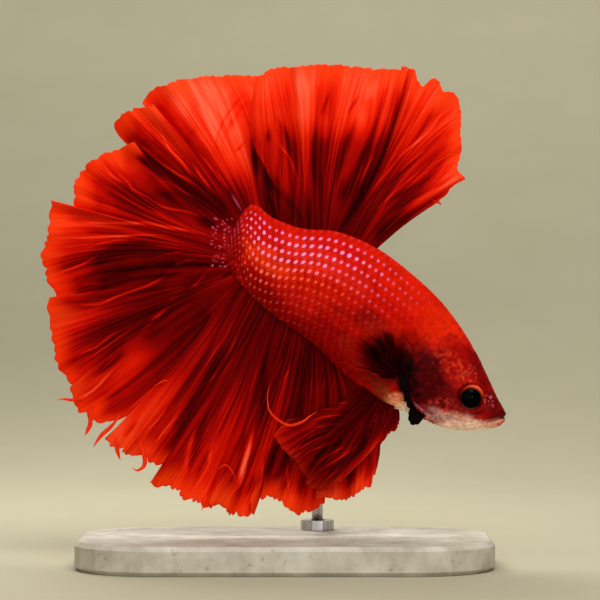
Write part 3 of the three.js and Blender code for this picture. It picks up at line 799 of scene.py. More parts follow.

# %% [markdown]
# ## The fins' outlines
# Each fin is a fan. Its rays start along a root line, and their tips lie at a reach from a hub,
# so a short list of angles and reaches draws the margin. Between root and tip the rays bow, and
# the whole sheet leans to one side. The rest of each entry gives it life: pleats that run with
# the rays, laps where one lobe slides over the next, a frayed margin, bands where the membrane
# is deeper red and bands where it is paler, and the lines of folds and bright rays. Some bands,
# and the fold lines, are painted light and shade: a glow where light from above shines through,
# shade in the folds' hollows, and highlights along their edges.

# %% The tail fin's outline
#   root: share across the fin, x, z
#   margin: angle, reach from the hub in mm
#   lay, fray: how far the margin leans to the side, and how deeply it is torn, in mm, each at the
#   first, the middle and the last ray
#   bow: angle, and twice what the ray there swings to the side at mid length, in mm
#   pleats: how many across the fin, size, seed
#   laps: angle, width, slide in degrees, step to the front in mm
#   base: depth of the red at the root, at mid length and at the margin
#     bands: angle, half width, from v, to v, depth (below 0 paler); bands that are painted light say so
#   lilac: angle, half width, from v, to v
#     folds: half width, depth, then x and z of each point of its line; above 0 the depth is painted
#     shade in a fold's hollow, below 0 a painted highlight along a fold's edge or on a bright ray
CAUDAL = {
    "hub": (-6.6, 45.5),
    "root": ((0, -3.4, 49.2), (1, -6.4, 39.8)),
    "margin": (
        (68, 22.6), (76, 24.2), (88, 23.4), (103, 23.8), (110, 24.2), (118, 24.7), (121.5, 23.8),
        (125.3, 22.3), (129.3, 23.9), (133, 24.3), (137.1, 24.3), (139.5, 20), (143.3, 20.6),
        (146.3, 22.2), (150.2, 23.1), (156.4, 24.4), (163.4, 24.6), (167.5, 23.8), (169.3, 22.6),
        (170.2, 27), (176.5, 27.3), (182.3, 27.9), (186.3, 28.2), (190.4, 28), (195.6, 27.5),
        (198.5, 27.7), (205.1, 29.7), (211.6, 31.2), (219.3, 31.7), (220, 30.6), (223.1, 32.2),
        (226.4, 33.6), (230.2, 33.2), (233.3, 32.3), (236, 31.2),
    ),
    "lay": (4.2, 0.4, 3.6),
    "bow": (
        (68, -6.5), (90, -3), (110, -1.5), (137, -0.7), (147, 4.5), (160, 2), (170, -1), (179, -2.3),
        (191, -5), (200, 1.3), (215, 0), (223, -2.5), (231, 3), (236, 5.8),
    ),
    "pleats": ((26, 0.60, 31), (58, 0.30, 32), (120, 0.12, 33)),
    "laps": (
        (123, 2.2, 3.0, 1.5), (140, 2.0, 3.0, 1.8), (170, 1.6, 2.2, 1.6), (198, 2.4, 3.0, 1.6),
        (221, 1.8, 2.4, 1.4),
    ),
    "rays": 26,
    "fray": (0.45, 0.75, 1.1),
    "base": (0.72, 0.77, 0.29),
    "bands": (
        # the bands at 82 and 106 degrees on the top lobe, and at 226 on the lowest, are a painted glow of
        # the light from above shining through the fin
        (82, 13, 0.2, 1.2, -0.42), (106, 12, 0.35, 1.2, -0.38), (130, 6, 0.6, 1.1, -0.2),
        (208, 9, 0.2, 0.8, 0.12), (226, 5, 0.45, 1.1, -0.2), (116, 8, 0, 0.3, 0.2),
        (165, 42, -0.1, 0.09, -0.34),
    ),
    "lilac": ((91.8, 1.0, 0.2, 0.45), (71.5, 1.2, 0.2, 0.42), (118, 1.0, 0.1, 0.3)),
    "folds": (
        (0.13, -0.35, -24.2, 62, -22.4, 60.8, -20.6, 59.1, -17.8, 56.7, -15.3, 54.9, -13, 53.3, -10.9,
         51.7, -9.4, 50.1),
        (0.11, -0.45, -25.1, 57.3, -24.8, 56.1, -23.8, 55, -22.3, 53.8, -21.3, 52.6, -19.7, 51.7,
         -18.2, 50.7, -16.7, 50, -14.4, 49.6, -12.6, 49.1, -11.1, 48.4, -8.8, 47.9),
        (0.08, -0.3, -25.9, 56.6, -24.8, 55, -23.4, 53.9, -22, 53.1),
        (0.11, -0.35, -18.1, 54.6, -15.8, 53.2, -13.9, 52.1, -11.8, 51, -9.7, 49.4),
        (0.10, -0.35, -19.6, 58, -17.4, 56.3, -15.3, 54.9, -12.9, 53.5, -10.2, 51.1),
        (0.10, -0.3, -16.4, 58.1, -15.1, 56.7, -13.7, 55.2, -12.3, 53.6),
        (0.13, -0.45, -13.3, 57, -12.3, 55.2, -11.1, 53.5, -9.7, 51.8),
        (0.17, -0.55, -28.6, 49.4, -25.3, 48.3, -22.8, 47.9, -20, 47.9, -18.1, 47.6, -16.1, 47.2,
         -14.1, 46.9, -12.3, 46.5, -9.4, 46.2),
        (0.07, -0.3, -29.7, 48, -25.3, 47.9, -21.4, 47.7),
        (0.11, -0.5, -34.2, 45.9, -30.2, 45.8, -26, 45.9, -22.3, 46.1, -19, 46.2, -15, 46.1),
        (0.08, -0.3, -29.1, 43.7, -26.7, 44.8, -23.8, 45.4, -21.3, 45.6),
        (0.10, -0.35, -33.5, 40, -30.9, 41.2, -28.6, 42.1, -26, 43.7, -23.8, 44.8),
        (0.08, -0.3, -30.9, 37.5, -28.6, 39.2, -25.3, 39.5, -23.4, 40.7),
        (0.14, -0.55, -32.1, 36.1, -29.4, 36.4, -26.2, 36.5, -23.8, 37.5, -21.3, 38.4, -19, 39.2,
         -17.2, 40.3, -15.8, 41.6, -14.4, 43.1),
        (0.10, -0.3, -15.1, 37.9, -12.9, 38.9, -11.1, 40.9, -9.4, 42.4),
        (0.10, -0.45, -30.1, 28.7, -28.4, 29.7, -26.6, 30.5, -24.5, 32.1, -22.7, 33.2),
        (0.08, -0.35, -29.8, 27.2, -27.9, 28.6, -25.3, 30.5, -23, 32.1, -21, 33.5, -19, 35.7),
        (0.25, -0.5, -22.5, 30.4, -20.6, 32.2, -19, 33.7, -17.6, 35.1, -16.1, 36.8, -15, 38.1, -13.3,
         39.9),
        (0.07, -0.3, -27.2, 25.8, -24.5, 28.6, -23, 30),
        (0.15, -0.6, -32.3, 23, -30.1, 22.8, -27.9, 23.8, -26.5, 24.9, -24.5, 27, -22, 29.4),
        (0.14, -0.6, -25.8, 18.5, -24.2, 19.7, -22.3, 21.3, -20, 23.4, -18.2, 24.8, -16.8, 25.8, -15,
         27.4, -13.3, 29.5, -11.6, 31.8, -9.5, 33.6, -7.3, 35.7, -5.9, 37.1),
        (0.13, -0.3, -12.5, 30, -11.1, 32.9, -9.7, 36.5),
        (0.10, -0.35, -13.3, 58.7, -11.6, 57.1, -10.2, 55.3, -8.8, 53.3, -7.6, 51.7),
        (0.10, -0.3, -18.3, 63, -17.6, 61, -16.2, 58.2, -14.6, 56.6, -12.9, 54.2, -10.8, 52.4),
        (0.10, -0.35, -10.2, 56, -9.2, 54.5, -8.1, 52.9, -7.1, 51.1),
        (0.07, -0.25, -19.5, 42.4, -17.5, 43.3, -15, 43.8, -11.9, 44.1),
        (0.07, -0.25, -16.8, 41.6, -14.4, 42.4, -11.2, 43.3),
        (1.26, -0.42, -26.2, 21.4, -23.4, 24.9, -20.6, 28.1, -18.1, 30.9),
        (1.12, -0.3, -16.1, 65.8, -15.3, 63.4, -13.9, 60.9),
        (1.26, -0.35, -11.2, 67.2, -10.5, 63.7, -10.1, 60.2, -9.1, 57.4),
        (0.84, -0.3, -6.3, 63, -7.4, 59.5, -6.3, 56),
        (0.70, -0.35, -12.5, 58.1, -11.3, 56, -9.9, 53.9),
        (0.70, -0.3, -22.3, 56.7, -20.3, 55, -18.6, 53.9),
        (0.56, -0.3, -31.5, 48.7, -27.3, 48),
        (0.84, -0.25, -17.5, 37.1, -15.3, 39.5, -12.5, 41.9),
        (0.98, -0.25, -26.6, 49, -23.1, 49),
        (0.77, 0.62, -27.3, 55, -24.2, 52.9, -21.4, 51.2, -18.6, 50.1, -16.4, 49.1),
        (0.56, 0.5, -21.1, 57.7, -19.7, 56.6, -17.4, 55.2, -15, 54),
        (0.56, 0.5, -19, 52.2, -15.8, 51.7, -12.6, 50.8, -10.2, 49.4),
        (0.36, 0.45, -15.3, 56.3, -12.6, 53.5, -10.2, 51.1, -8.1, 48.6),
        (0.42, 0.5, -13.3, 48.7, -10.9, 48, -9.1, 47.5),
        (0.45, 0.7, -29.8, 47.2, -27, 47, -23.8, 46.9, -20.6, 46.6),
        (0.63, 0.6, -13.3, 45.6, -17.4, 45.5, -20.6, 45.1, -22.3, 44.5, -24.6, 43.3, -27, 41.2, -29,
         39.8),
        (0.48, 0.75, -18.8, 42.4, -20.9, 41.2, -22.8, 40.5, -24.6, 39.8, -26, 38.5, -28.3, 37.4),
        (1.96, 0.35, -28.1, 41.3, -24.8, 42.4, -21.1, 43.3),
        (0.34, 0.6, -21.6, 30.5, -19.2, 32.2, -17.4, 34.2, -15.7, 35.8, -14.4, 37.7),
        (0.77, 0.6, -28.1, 25.5, -25.8, 27.9, -23.8, 30, -22.1, 32.2),
        (0.42, 0.4, -15, 36.1, -13.7, 37.9, -12.6, 39.2),
        (0.34, 0.45, -18.9, 61.9, -18.5, 60.1, -17.6, 58.4, -16.1, 56.7, -14.4, 55.3),
        (0.25, 0.55, -5, 65.4, -6.2, 64.1, -7.1, 62.7, -8.1, 60.9, -9.1, 59.1),
        (0.35, 0.3, -12.2, 61.7, -13.7, 59.8, -14.6, 58.7),
        (0.11, 0.4, -5.3, 59.6, -6.3, 58.5, -7.4, 57.7),
        (0.10, 0.35, -4.6, 66.6, -6.3, 65.5, -7.8, 63.6, -9, 61.5, -9.7, 58.9, -9.5, 56.4),
        (0.48, 0.45, -10.8, 52.2, -9.4, 50.5, -7.7, 48.6),
        (0.5, 1.3, -8.4, 41, -7.7, 39.8),
        (0.35, 0.4, -10.6, 36, -11.2, 34.3, -12, 32.2),
        (0.21, 0.4, -18.9, 39.5, -16.8, 41.2, -15.3, 42.8),
        (0.42, 0.3, -13.3, 30.8, -12.3, 33.6, -11.3, 36.4),
        (0.35, 0.3, -26.5, 32.9, -23.1, 34.6, -20.3, 36.7),
    ),
}


def root_dots():
    """Places of the small pearls that run on from the scales over the root of the tail's rays."""
    even = np.array([(x, z) for x in np.arange(-10.0, -7.2, 0.6) for z in np.arange(41.6, 48.6, 0.66)])
    return even + np.random.default_rng(12).uniform(-0.34, 0.34, even.shape)


CAUDAL["dots"] = root_dots()
print("the tail fan opens over", CAUDAL["margin"][-1][0] - CAUDAL["margin"][0][0], "degrees")

# %% The back fin's outline
DORSAL = {
    "hub": (7.0, 46.2),
    "root": ((0, 12.6, 44.0), (0.9, 2.9, 46.8), (1, -2.4, 48.4)),
    "margin": (
        (17, 14.2), (18.8, 15.5), (21.3, 17.6), (24.1, 19.9), (28.1, 19.5), (33.2, 21.4), (37, 22.4),
        (42.6, 24.3), (47.4, 25.8), (50.4, 25.9), (51.5, 25.2), (55.4, 26.1), (57.6, 25.8),
        (58.4, 24.2), (62.5, 24.6), (65.1, 25.9), (69, 25.4), (73.1, 24.5), (78.1, 23.8),
        (85, 23.7), (98.4, 24), (105, 24.3), (111.4, 24.9), (117.2, 24.5),
    ),
    "lay": (-0.6, -1.6, -2.8),
    "bow": (
        (17, 0.5), (34, 2.4), (45, 2.6), (58, 0), (68, -3.9), (73, -2.3), (79, 1.5), (91, 1.5),
        (100, 0), (112, -1.5), (117.2, 3),
    ),
    "pleats": ((20, 0.50, 41), (44, 0.28, 42), (90, 0.12, 43)),
    "laps": ((69, 1.8, 2.4, 1.4), (24, 2.0, 1.6, 0.8)),
    "rays": 20,
    "fray": (0.5, 0.4, 0.35),
    "base": (1.0, 0.70, 0.16),
    # the band at 90 degrees is a painted glow of the light from above at the fin's top
    "bands": ((90, 24, 0.62, 1.2, -0.38), (35, 12, 0.5, 1.2, -0.18), (107, 8, 0.15, 0.7, -0.22)),
    "folds": (
        (0.39, 0.75, -5.3, 62.6, -4.9, 58.5, -3.9, 56.4, -2.8, 54.3, -1.4, 52.8, 1.1, 50, 2.9, 47.7),
        (0.08, -0.4, -4.6, 61.7, -4.1, 58.5, -2.7, 56, -1.8, 53.9, -0.1, 51.7, 1.5, 49.7),
        (0.34, 0.45, -1.7, 63.4, -0.4, 61.2, 0.6, 58.9, 1.1, 56.7, 1.8, 54.2),
        (0.10, -0.35, -2.4, 62.3, -0.8, 58.8, 0.6, 57, 1.5, 54.7, 2.4, 51.5),
        (0.63, 0.35, -2.9, 60.1, -1.7, 59.9),
        (0.45, 0.5, 4.1, 63.1, 4.2, 59.6, 4.1, 56.7, 4.5, 53.3, 4.9, 50.5),
        (0.18, 0.4, 6.6, 66.8, 5.6, 64.3, 4.8, 62),
        (0.13, 0.4, 10.8, 66.2, 9.4, 64.1, 8.5, 62.4),
        (0.42, 0.45, 10.4, 63.1, 9.2, 60.3, 8.1, 57.4, 7.4, 54.6, 7, 51.5),
        (0.34, 0.75, 14.3, 69, 13.9, 66.5, 13.3, 63.3, 12.7, 60.8, 11.9, 58.5, 10.5, 56.1, 9.4, 53.6,
         8.7, 50.5),
        (0.11, -0.35, 13.7, 59.8, 12.2, 57, 10.9, 54.3, 9.7, 51.5),
        (0.34, 0.6, 16.4, 69, 15.7, 66.4, 15.4, 63.6, 15.1, 60.9, 14.3, 58.1, 13.2, 55.6, 11.9, 52.8,
         10.4, 50.5),
        (0.22, 0.5, 18.1, 69, 17.4, 66.2, 16.7, 63.4, 15.8, 60.9),
        (0.22, 0.5, 19.6, 66.4, 18.6, 63.6, 17.1, 61.2, 15.5, 58.9, 14, 56.3),
        (0.17, 0.45, 21.4, 65.4, 20.3, 62.9, 18.6, 60.1, 16.4, 57.5),
        (0.17, 0.45, 23.4, 62.3, 22, 60.3, 20.2, 58.5, 17.8, 56.3, 15, 53.9, 12.2, 51.4, 9.9, 48.7),
        (0.22, 0.45, 24.2, 57.8, 22, 55.4, 19.6, 53.8, 16.8, 52.2, 14, 50.5, 11.3, 48.2),
        (0.17, 0.35, 24.6, 59.5, 22.5, 57.3, 20, 55.6, 17.2, 53.9),
        (0.17, 0.35, 24.8, 55.6, 22.7, 53.9, 20.3, 52.5, 17.8, 51.1, 15, 49.1),
        (0.70, 0.5, 18.9, 50.7, 16, 48.4, 13.7, 46.3, 12.5, 44.8),
        (0.10, -0.4, 22.5, 64.5, 20.3, 60.8, 16.8, 57.8, 14.7, 55.6),
        (0.10, -0.35, 23.8, 62.2, 20.6, 58.8, 17.8, 56.6, 15, 54, 12.2, 50.8),
        (0.10, -0.3, 16.8, 57.8, 14, 54.6, 11.3, 51.1),
        (0.08, -0.3, 20.6, 56.3, 17.2, 53.8, 13.6, 50.5, 10.8, 47.5),
        (0.10, -0.35, 24.2, 58.1, 21.1, 56.3, 18.2, 54.6),
        (0.70, -0.3, 23.8, 64.4, 24.5, 61.6, 23.9, 58.1),
        (0.98, -0.3, 6.9, 63.4, 6, 60.9, 5.7, 58.1),
        (0.42, -0.2, 11.6, 66.4, 10.8, 62.6, 10.2, 58.5),
        (0.84, -0.25, 1.5, 67.2, 2.1, 63.7, 2.5, 60.9),
        (0.70, -0.3, 21.7, 55.6, 23.4, 56.7, 24.2, 56),
        (0.42, -0.3, 16.8, 67.2, 16.9, 64.4),
        (1.12, 0.25, 6.3, 51.1, 9.1, 52.5, 12.2, 53.2),
    ),
}
print("the back fin has", len(DORSAL["folds"]), "folds and rays that stand out")

# %% The anal fin's outline
ANAL = {
    "hub": (0.7, 32.9),
    "root": ((0, 9.3, 26.6), (0.8, -2.7, 37.8), (1, -6.2, 41.2)),
    "margin": (
        (304, 20.8), (303.3, 22.8), (300.4, 24), (296.5, 24.9), (292, 24.7), (288, 25.5),
        (283.9, 24.6), (279.5, 23.6), (275.7, 25.5), (272.5, 26.3), (270, 25.1), (267.7, 24.1),
        (265.6, 23.6),
        (264, 24.1), (261.9, 23.8), (260.9, 24.7), (259.3, 26.4), (256, 27.1), (254, 27.4),
        (250.6, 27), (247.9, 26.8), (247.2, 25.2), (245.4, 27.3), (244.1, 28.2), (240, 28),
        (237.6, 28.2), (235.3, 27.6), (232.4, 28.5), (230.7, 29.1), (228.7, 28.6), (227.8, 26),
        (225.9, 26.1), (223.3, 26.9), (219.5, 27.4), (217, 28.8), (213.2, 29.6), (210.1, 30.6),
    ),
    "lay": (-0.6, -1.8, -3.4),
    "bow": ((304, 3.2), (280, 2), (257, 0.8), (232, 0.6), (217, 1.2), (210.1, 2.6)),
    "pleats": ((24, 0.55, 51), (52, 0.28, 52), (110, 0.12, 53)),
    "laps": ((279, 2.0, 2.6, 1.4), (259.5, 1.8, 2.4, 1.5), (246.5, 1.8, 2.4, 1.5), (228, 2.0, 2.6, 1.5)),
    "rays": 26,
    "fray": (0.8, 1.1, 1.1),
    "base": (0.96, 0.78, 0.36),
    "bands": (
        (300, 5, 0.78, 1.2, 0.2), (289, 9, 0.86, 1.2, -0.3), (244, 8, 0.5, 1.1, -0.14),
        (288, 13, 0, 0.6, 0.1), (213, 3, 0.6, 1.2, -0.25),
    ),
    "folds": (
        (0.5, 1.3, -8.4, 41, -7.7, 39.8),
        (0.10, -0.35, -11.9, 26.3, -10.1, 29.4, -8.5, 31.6, -7.3, 33.9, -5.3, 36.1),
        (0.10, -0.4, -13.3, 23.7, -10.1, 26.2, -8, 29.5, -6.4, 32.2, -4.3, 34.6),
        (0.08, -0.25, -11.2, 23.1, -8.8, 26.6, -6.3, 30.1, -3.2, 34),
        (0.36, 0.6, -12, 24.8, -10.2, 26.9, -8.5, 29.7, -7.6, 31.4),
        (1.12, -0.22, -6.3, 29.8, -7.4, 25.9, -8.1, 22.4, -8.5, 18.9),
        (0.36, 0.5, -3.1, 31.5, -3.2, 27.2, -3.1, 22.3, -3.5, 17.5),
        (0.07, -0.28, 0.6, 30.2, -0.8, 27.7, -1.8, 24.6),
        (0.07, -0.28, 2.7, 30.9, 1.1, 28.1, 0, 26.2, -0.7, 24.4),
        (0.07, 0.25, 4.3, 29.7, 2.7, 26.6, 2, 23.9),
        (0.07, -0.22, 5, 29.1, 3.9, 26.3, 3.4, 23.7),
        (0.07, -0.22, 6.2, 28, 5.6, 25.9, 5, 23.7),
        (0.07, -0.22, 7.1, 27.3, 6.7, 24.8, 6.3, 23.1),
        (1.26, 0.3, -1.4, 31.8, 2.1, 28, 6, 24.8),
        (0.27, -0.7, -4.2, 20.4, -4.8, 17.6, -5.6, 14.6, -6.4, 11.3, -8.3, 9),
        (0.22, -0.3, -12, 20.6, -13, 17.6, -13.7, 14.8, -14.3, 12.9, -16.4, 12.2),
        (0.21, -0.35, -8.1, 22.5, -9.4, 18.3, -10.4, 16.1, -10.6, 13.7, -12.2, 11.3, -13.6, 9.7),
        (0.10, -0.35, -14, 23.4, -15.4, 20.6, -17.5, 17.9, -18.6, 15.4),
        (0.08, -0.3, -16.1, 22.4, -17.8, 20.3, -20.3, 17.8),
        (0.42, 0.5, -10.4, 27, -11.9, 24.1, -13, 21.7, -14.3, 19.3, -16, 16.1, -17.4, 15.3),
        (0.28, 0.45, -9.4, 23.2, -11.1, 20.6, -12.2, 16.9, -13, 14.6, -13.7, 11.9),
        (0.28, 0.4, -5.6, 20.2, -5.9, 17.6, -6.9, 13.6),
        (0.36, 0.4, -20, 21, -21.7, 18.5, -22.8, 17.5),
        (0.42, 0.4, -4.1, 13.3, -4.9, 11.2, -5.9, 9.1),
        (0.42, 0.35, -1.7, 17.5, -1.8, 14, -1.4, 10.8),
        (0.49, 0.4, 2.4, 13.3, 2.9, 11.6, 3.8, 10.5),
        (0.08, -0.35, -3.2, 15.8, -3.2, 12.6, -4.1, 9.1),
        (0.10, -0.3, 0.3, 15, 0.4, 12.2, 0.7, 9.8),
        (0.49, -0.35, 0.7, 10.5, 1.8, 8),
        (0.56, -0.3, -8.8, 17.5, -9.4, 14.4),
        (0.56, -0.3, -11.9, 10.5, -10.8, 9.4),
        (0.56, -0.25, -19.3, 16.9, -19.5, 15),
        (0.70, -0.2, -15.3, 20, -16.4, 17.5),
    ),
}
print("the anal fin's longest ray is", max(reach for _, reach in ANAL["margin"]), "mm")

# %% The paired fins' outlines
#   aside: how far the whole fin stands off the middle plane, in mm
#   rim: how much of the bright rim shows; clear_sides: how much the fan clears at both its sides
VENTRAL = {
    "hub": (15.0, 22.5),
    "root": ((0, 15.4, 23.2), (1, 11.2, 25.4)),
    "margin": (
        (256, 4.4), (250, 6), (245, 7.4), (240, 9.5), (235, 13), (229, 16), (225, 16.5), (215, 15.8),
        (206, 16), (200, 16.6), (193, 17.2), (188, 15),
    ),
    "lay": (1.0, 2.6, 3.2),
    "bow": ((256, 0.4), (220, 0.6), (188, 1.6)),
    "pleats": ((9, 0.40, 61), (20, 0.20, 62), (44, 0.08, 63)),
    "laps": ((222, 3.0, 4.0, 1.0), (208, 3.0, 3.5, 0.9)),
    "rays": 9,
    "fray": (0.5, 0.6, 0.4),
    "base": (1.3, 1.0, 0.58),
    # the band at 225 degrees is painted shadow at the fin's root, where it meets the breast
    "bands": ((246, 5, 0.7, 1.1, -0.25), (196, 8, 0.1, 0.7, -0.15), (225, 30, -0.1, 0.2, 0.3)),
    "aside": 1.1,
    "rim": 0.2,
    "folds": (
        (0.08, -0.4, 2.7, 22.4, 5.9, 22.7, 10.4, 22.7),
        (0.11, -0.45, 1.3, 21.3, 4.3, 21.8, 8.3, 22),
        (0.07, -0.35, 3.2, 20.2, 5.9, 20.9, 9.9, 21.3),
        (0.06, -0.3, 3.5, 19.2, 5.9, 19.6, 9.1, 20),
        (0.06, -0.35, 2.5, 17.6, 4.5, 18.5, 7, 19.3),
        (0.08, -0.4, 0.1, 15.4, 2, 16.4, 4.8, 17.9, 7, 18.3),
        (0.06, -0.35, 1.5, 14.8, 3.5, 16.1, 6.4, 17.2, 8.3, 18.3),
        (0.07, -0.4, 3.5, 13.4, 5.5, 15.1, 7.6, 16.4, 9.9, 17.6),
        (0.07, -0.4, 3.8, 12.9, 6.7, 14.6, 9.1, 16.1, 10.9, 17.6),
        (0.06, -0.3, 4.8, 11.3, 6.7, 12.9, 9.1, 14.1),
        (0.25, -0.35, 4.6, 13.2, 7.4, 15.1, 9.9, 17.4),
        (0.49, -0.4, -1.8, 18.5, 0.7, 19.3, 2.9, 20.9),
        (0.22, 0.45, 2.1, 16.9, 5.6, 18.6, 9.4, 19.7),
        (0.17, 0.4, 3.8, 19.7, 7, 20.6),
        (0.31, 0.5, 2.9, 14.4, 6.3, 16.4, 10.5, 18.6),
        (0.63, 0.5, 3.4, 12.2, 4.1, 11.1),
        (1.12, 0.45, 12.2, 21.4, 11.3, 19.6),
        (0.22, 0.4, 4.9, 12.2, 7.7, 14.4, 10.8, 16.4),
        (0.42, -0.35, 5.2, 9.9, 8, 10.2, 10.2, 11.3, 11.9, 13, 12.7, 14.7),
    ),
}
LEFT_VENTRAL = dict(
    VENTRAL,
    margin=((297, 2.4), (284, 3.7), (262, 4.6), (244, 8), (230, 13), (212, 14.4), (196, 14.6)),
)
PECTORAL = {
    "hub": (16.2, 27.0),
    "root": ((0, 15.4, 28.4), (1, 15.2, 26.2)),
    "margin": ((94, 5.6), (108, 6.8), (130, 8.0), (152, 9.2), (171, 9.8), (186, 8.4)),
    "lay": (2.0, 2.8, 2.6),
    "bow": ((94, 0.3), (186, -0.3)),
    "pleats": ((5, 0.16, 71), (12, 0.06, 72)),
    "laps": (),
    "rays": 8,
    "fray": (0.3, 0.3, 0.3),
    # The near-black root, with the bands at 104 and 140 degrees, is painted shadow: the dark patch where
    # the fin lies over the body behind the gill cover.
    "base": (1.6, 0.9, -0.1),
    "bands": ((104, 8, 0.2, 0.95, 0.6), (140, 9, 0.2, 0.6, 0.3), (176, 10, 0.35, 1.1, -0.3)),
    "aside": 4.1,
    "clear_sides": 0.9,
    "folds": (),
}
longest = [max(reach for _, reach in fin["margin"]) for fin in (VENTRAL, PECTORAL)]
print("longest rays of the ventral and pectoral fins", longest, "mm")

# %% [markdown]
# ## How a fin is shaped
# A fin could be a cloth simulation, but cloth would not keep the rays. Here a flat grid is moved
# by a formula of two numbers: u runs across the rays and v along them, from the root to the
# margin. A lap turns the rays of two neighbouring lobes towards each other until they pass, and
# steps one to the front and the other to the back, so the sheet folds over like a curtain.


# %% Fin formula
def spread(values, u):
    """Three values spread over the fin: at its first ray, its middle one and its last one."""
    first, middle_one, last = values
    return (1 - u) * (1 - 2 * u) * first + 4 * u * (1 - u) * middle_one + u * (2 * u - 1) * last


def fan_of(fin):
    """The angles of the fin's first and last rays."""
    return fin["margin"][0][0], fin["margin"][-1][0]


def at_angle(table, angle):
    """Reads a short table of angles and values, at any angle."""
    angles, values = np.array(sorted(table), float).T
    return np.interp(angle, angles, values)


def reach_at(fin, angle):
    """The reach of the rays, with the corners of the outline a little rounded."""
    nearby = [at_angle(fin["margin"], angle + turn) for turn in (-0.5, -0.25, 0, 0.25, 0.5)]
    return sum(nearby) / len(nearby)


def torn_by(fin, u):
    """How far the margin falls short between the tips of the rays, from 0 to 1."""
    across = u * fin["rays"]
    broad = 1 - np.abs(np.sin(np.pi * (across * 0.7 + 0.6 * wander(across * 0.5, 96))))
    small = 1 - np.abs(np.sin(np.pi * (across * 2.3 + 0.5 * wander(across * 1.7, 97))))
    return 0.5 * broad ** 1.5 + 0.3 * small + 0.2 * (0.5 + 0.5 * wander(across * 6, 92))


def laps_at(fin, angle, v):
    """How far the laps turn each ray, in degrees, and step it to the side, in millimetres."""
    slide, step = np.zeros_like(v), np.zeros_like(v)
    for at, width, turn, forward in fin["laps"]:
        x = (angle - at) / width
        push = x * np.exp(0.5 - 0.5 * x * x)
        slide -= turn * push * v ** 0.7
        step -= forward * push * v ** 1.2
    return slide, step


def roots_and_tips(fin, u, v, angle, slide, fray):
    """Where each point's ray starts and ends in the side view."""
    reach = reach_at(fin, angle) - fray * torn_by(fin, u) * ease(0.75, 1, v)
    tip = np.array(fin["hub"]) + polar(angle + slide, reach)
    shares, root_x, root_z = np.array(fin["root"]).T
    return np.stack([np.interp(u, shares, root_x), np.interp(u, shares, root_z)], -1), tip


def fin_point(fin, u, v, side):
    """Points of a fin's middle layer, in millimetres, and each one's angle, ray length and pleat."""
    first, last = fan_of(fin)
    angle = first + (last - first) * u
    rays = fin["rays"]
    fray = spread(fin["fray"], u)
    slide, step = laps_at(fin, angle, v)
    slide += (1.2 + fray) * wander(u * rays * 0.28, 94) * v ** 2
    slide += (0.6 + 0.6 * fray) * wander(u * rays * 0.8 + 1.2 * v, 95) * v
    root, tip = roots_and_tips(fin, u, v, angle, slide, fray)
    chord = tip - root
    length = np.linalg.norm(chord, axis=1)
    across = np.c_[-chord[:, 1], chord[:, 0]] / length[:, None]
    bow = at_angle(fin["bow"], angle) * 2 * v * (1 - v)
    place = root + chord * v[:, None] + across * bow[:, None]
    pleat = sum(size * wander(u * count, seed) for count, size, seed in fin["pleats"])
    ruffle = fray * 0.9 * wander(u * rays * 1.3, 93) * ease(0.7, 1.05, v)
    lean = spread(fin["lay"], u) * v ** 0.9
    y = side * (fin.get("aside", 0) + lean) + (pleat * v ** 1.1 + ruffle + step)
    return np.stack([place[:, 0], swayed(place[:, 0], y), place[:, 1]], -1), angle, length, pleat


print("the tail's middle ray reaches", float(reach_at(CAUDAL, 180).round(1)), "mm")

# %% Rays and folds
# how strongly the fold lines lay on painted shade in their hollows, and a painted glow along the wide
# bright folds
PAINTED_HOLLOW_SHADE, PAINTED_GLOW = 0.80, 0.5
DEEPEST = {"from": 0.74, "room": 0.24}
FEATHERED_FROM = 0.2
RAY_REACH = 28


def along_rays(fin, u, v):
    """Counts the rays across the fin, with each ray wandering a little on its way out."""
    count = u * fin["rays"]
    return count + 0.3 * wander(count * 1.3, 97) + 0.5 * cloud(count * 0.35, v * 1.7, 98)


def ray_ridges(place, v):
    """1 on the crest of a ray, 0 on the membrane; each ray forks twice on its way out."""
    off = np.abs((place + 0.5) % 1 - 0.5)
    off = np.abs(off - 0.25 * ease(0.15, 0.45, v))
    off = np.abs(off - 0.125 * ease(0.4, 0.75, v))
    strong = 0.55 + 0.45 * cloud(place * 1.7, v * 2.5, 99)
    return hump(off, 0.11 - 0.075 * v) * strong


def painted_fold_shade_and_highlights(fin, x, z, place, v):
    """Painted shade in the folds' hollows and painted highlights along fold edges and the brightest rays,
    as they add to the fin's depth of colour.
    """
    feather = 0.85 + 0.85 * cloud(place * 2.2, v * 1.3, 22) + 0.55 * cloud(place * 6, v * 1.8, 23)
    depth = np.zeros_like(x)
    for half, much, *line in fin["folds"]:
        line = np.array(line).reshape(-1, 2)
        line = through(line, np.linspace(0, 1, 4 * len(line) - 3))
        low, high = line.min(0) - 4 * half, line.max(0) + 4 * half
        near = (x > low[0]) & (x < high[0]) & (z > low[1]) & (z < high[1])
        gap, share = from_line(line, x[near], z[near])
        ends = ease(0, 0.4, share) * ease(1, 0.6, share)
        width = half * (1.15 if much > 0 else 1) * (0.35 + 0.65 * ends)
        much *= PAINTED_HOLLOW_SHADE if much > 0 else PAINTED_GLOW if half > 0.4 else 1
        much = much * (feather[near] if half > FEATHERED_FROM else 1)
        depth[near] += much * hump(gap, width) * ends
    return depth


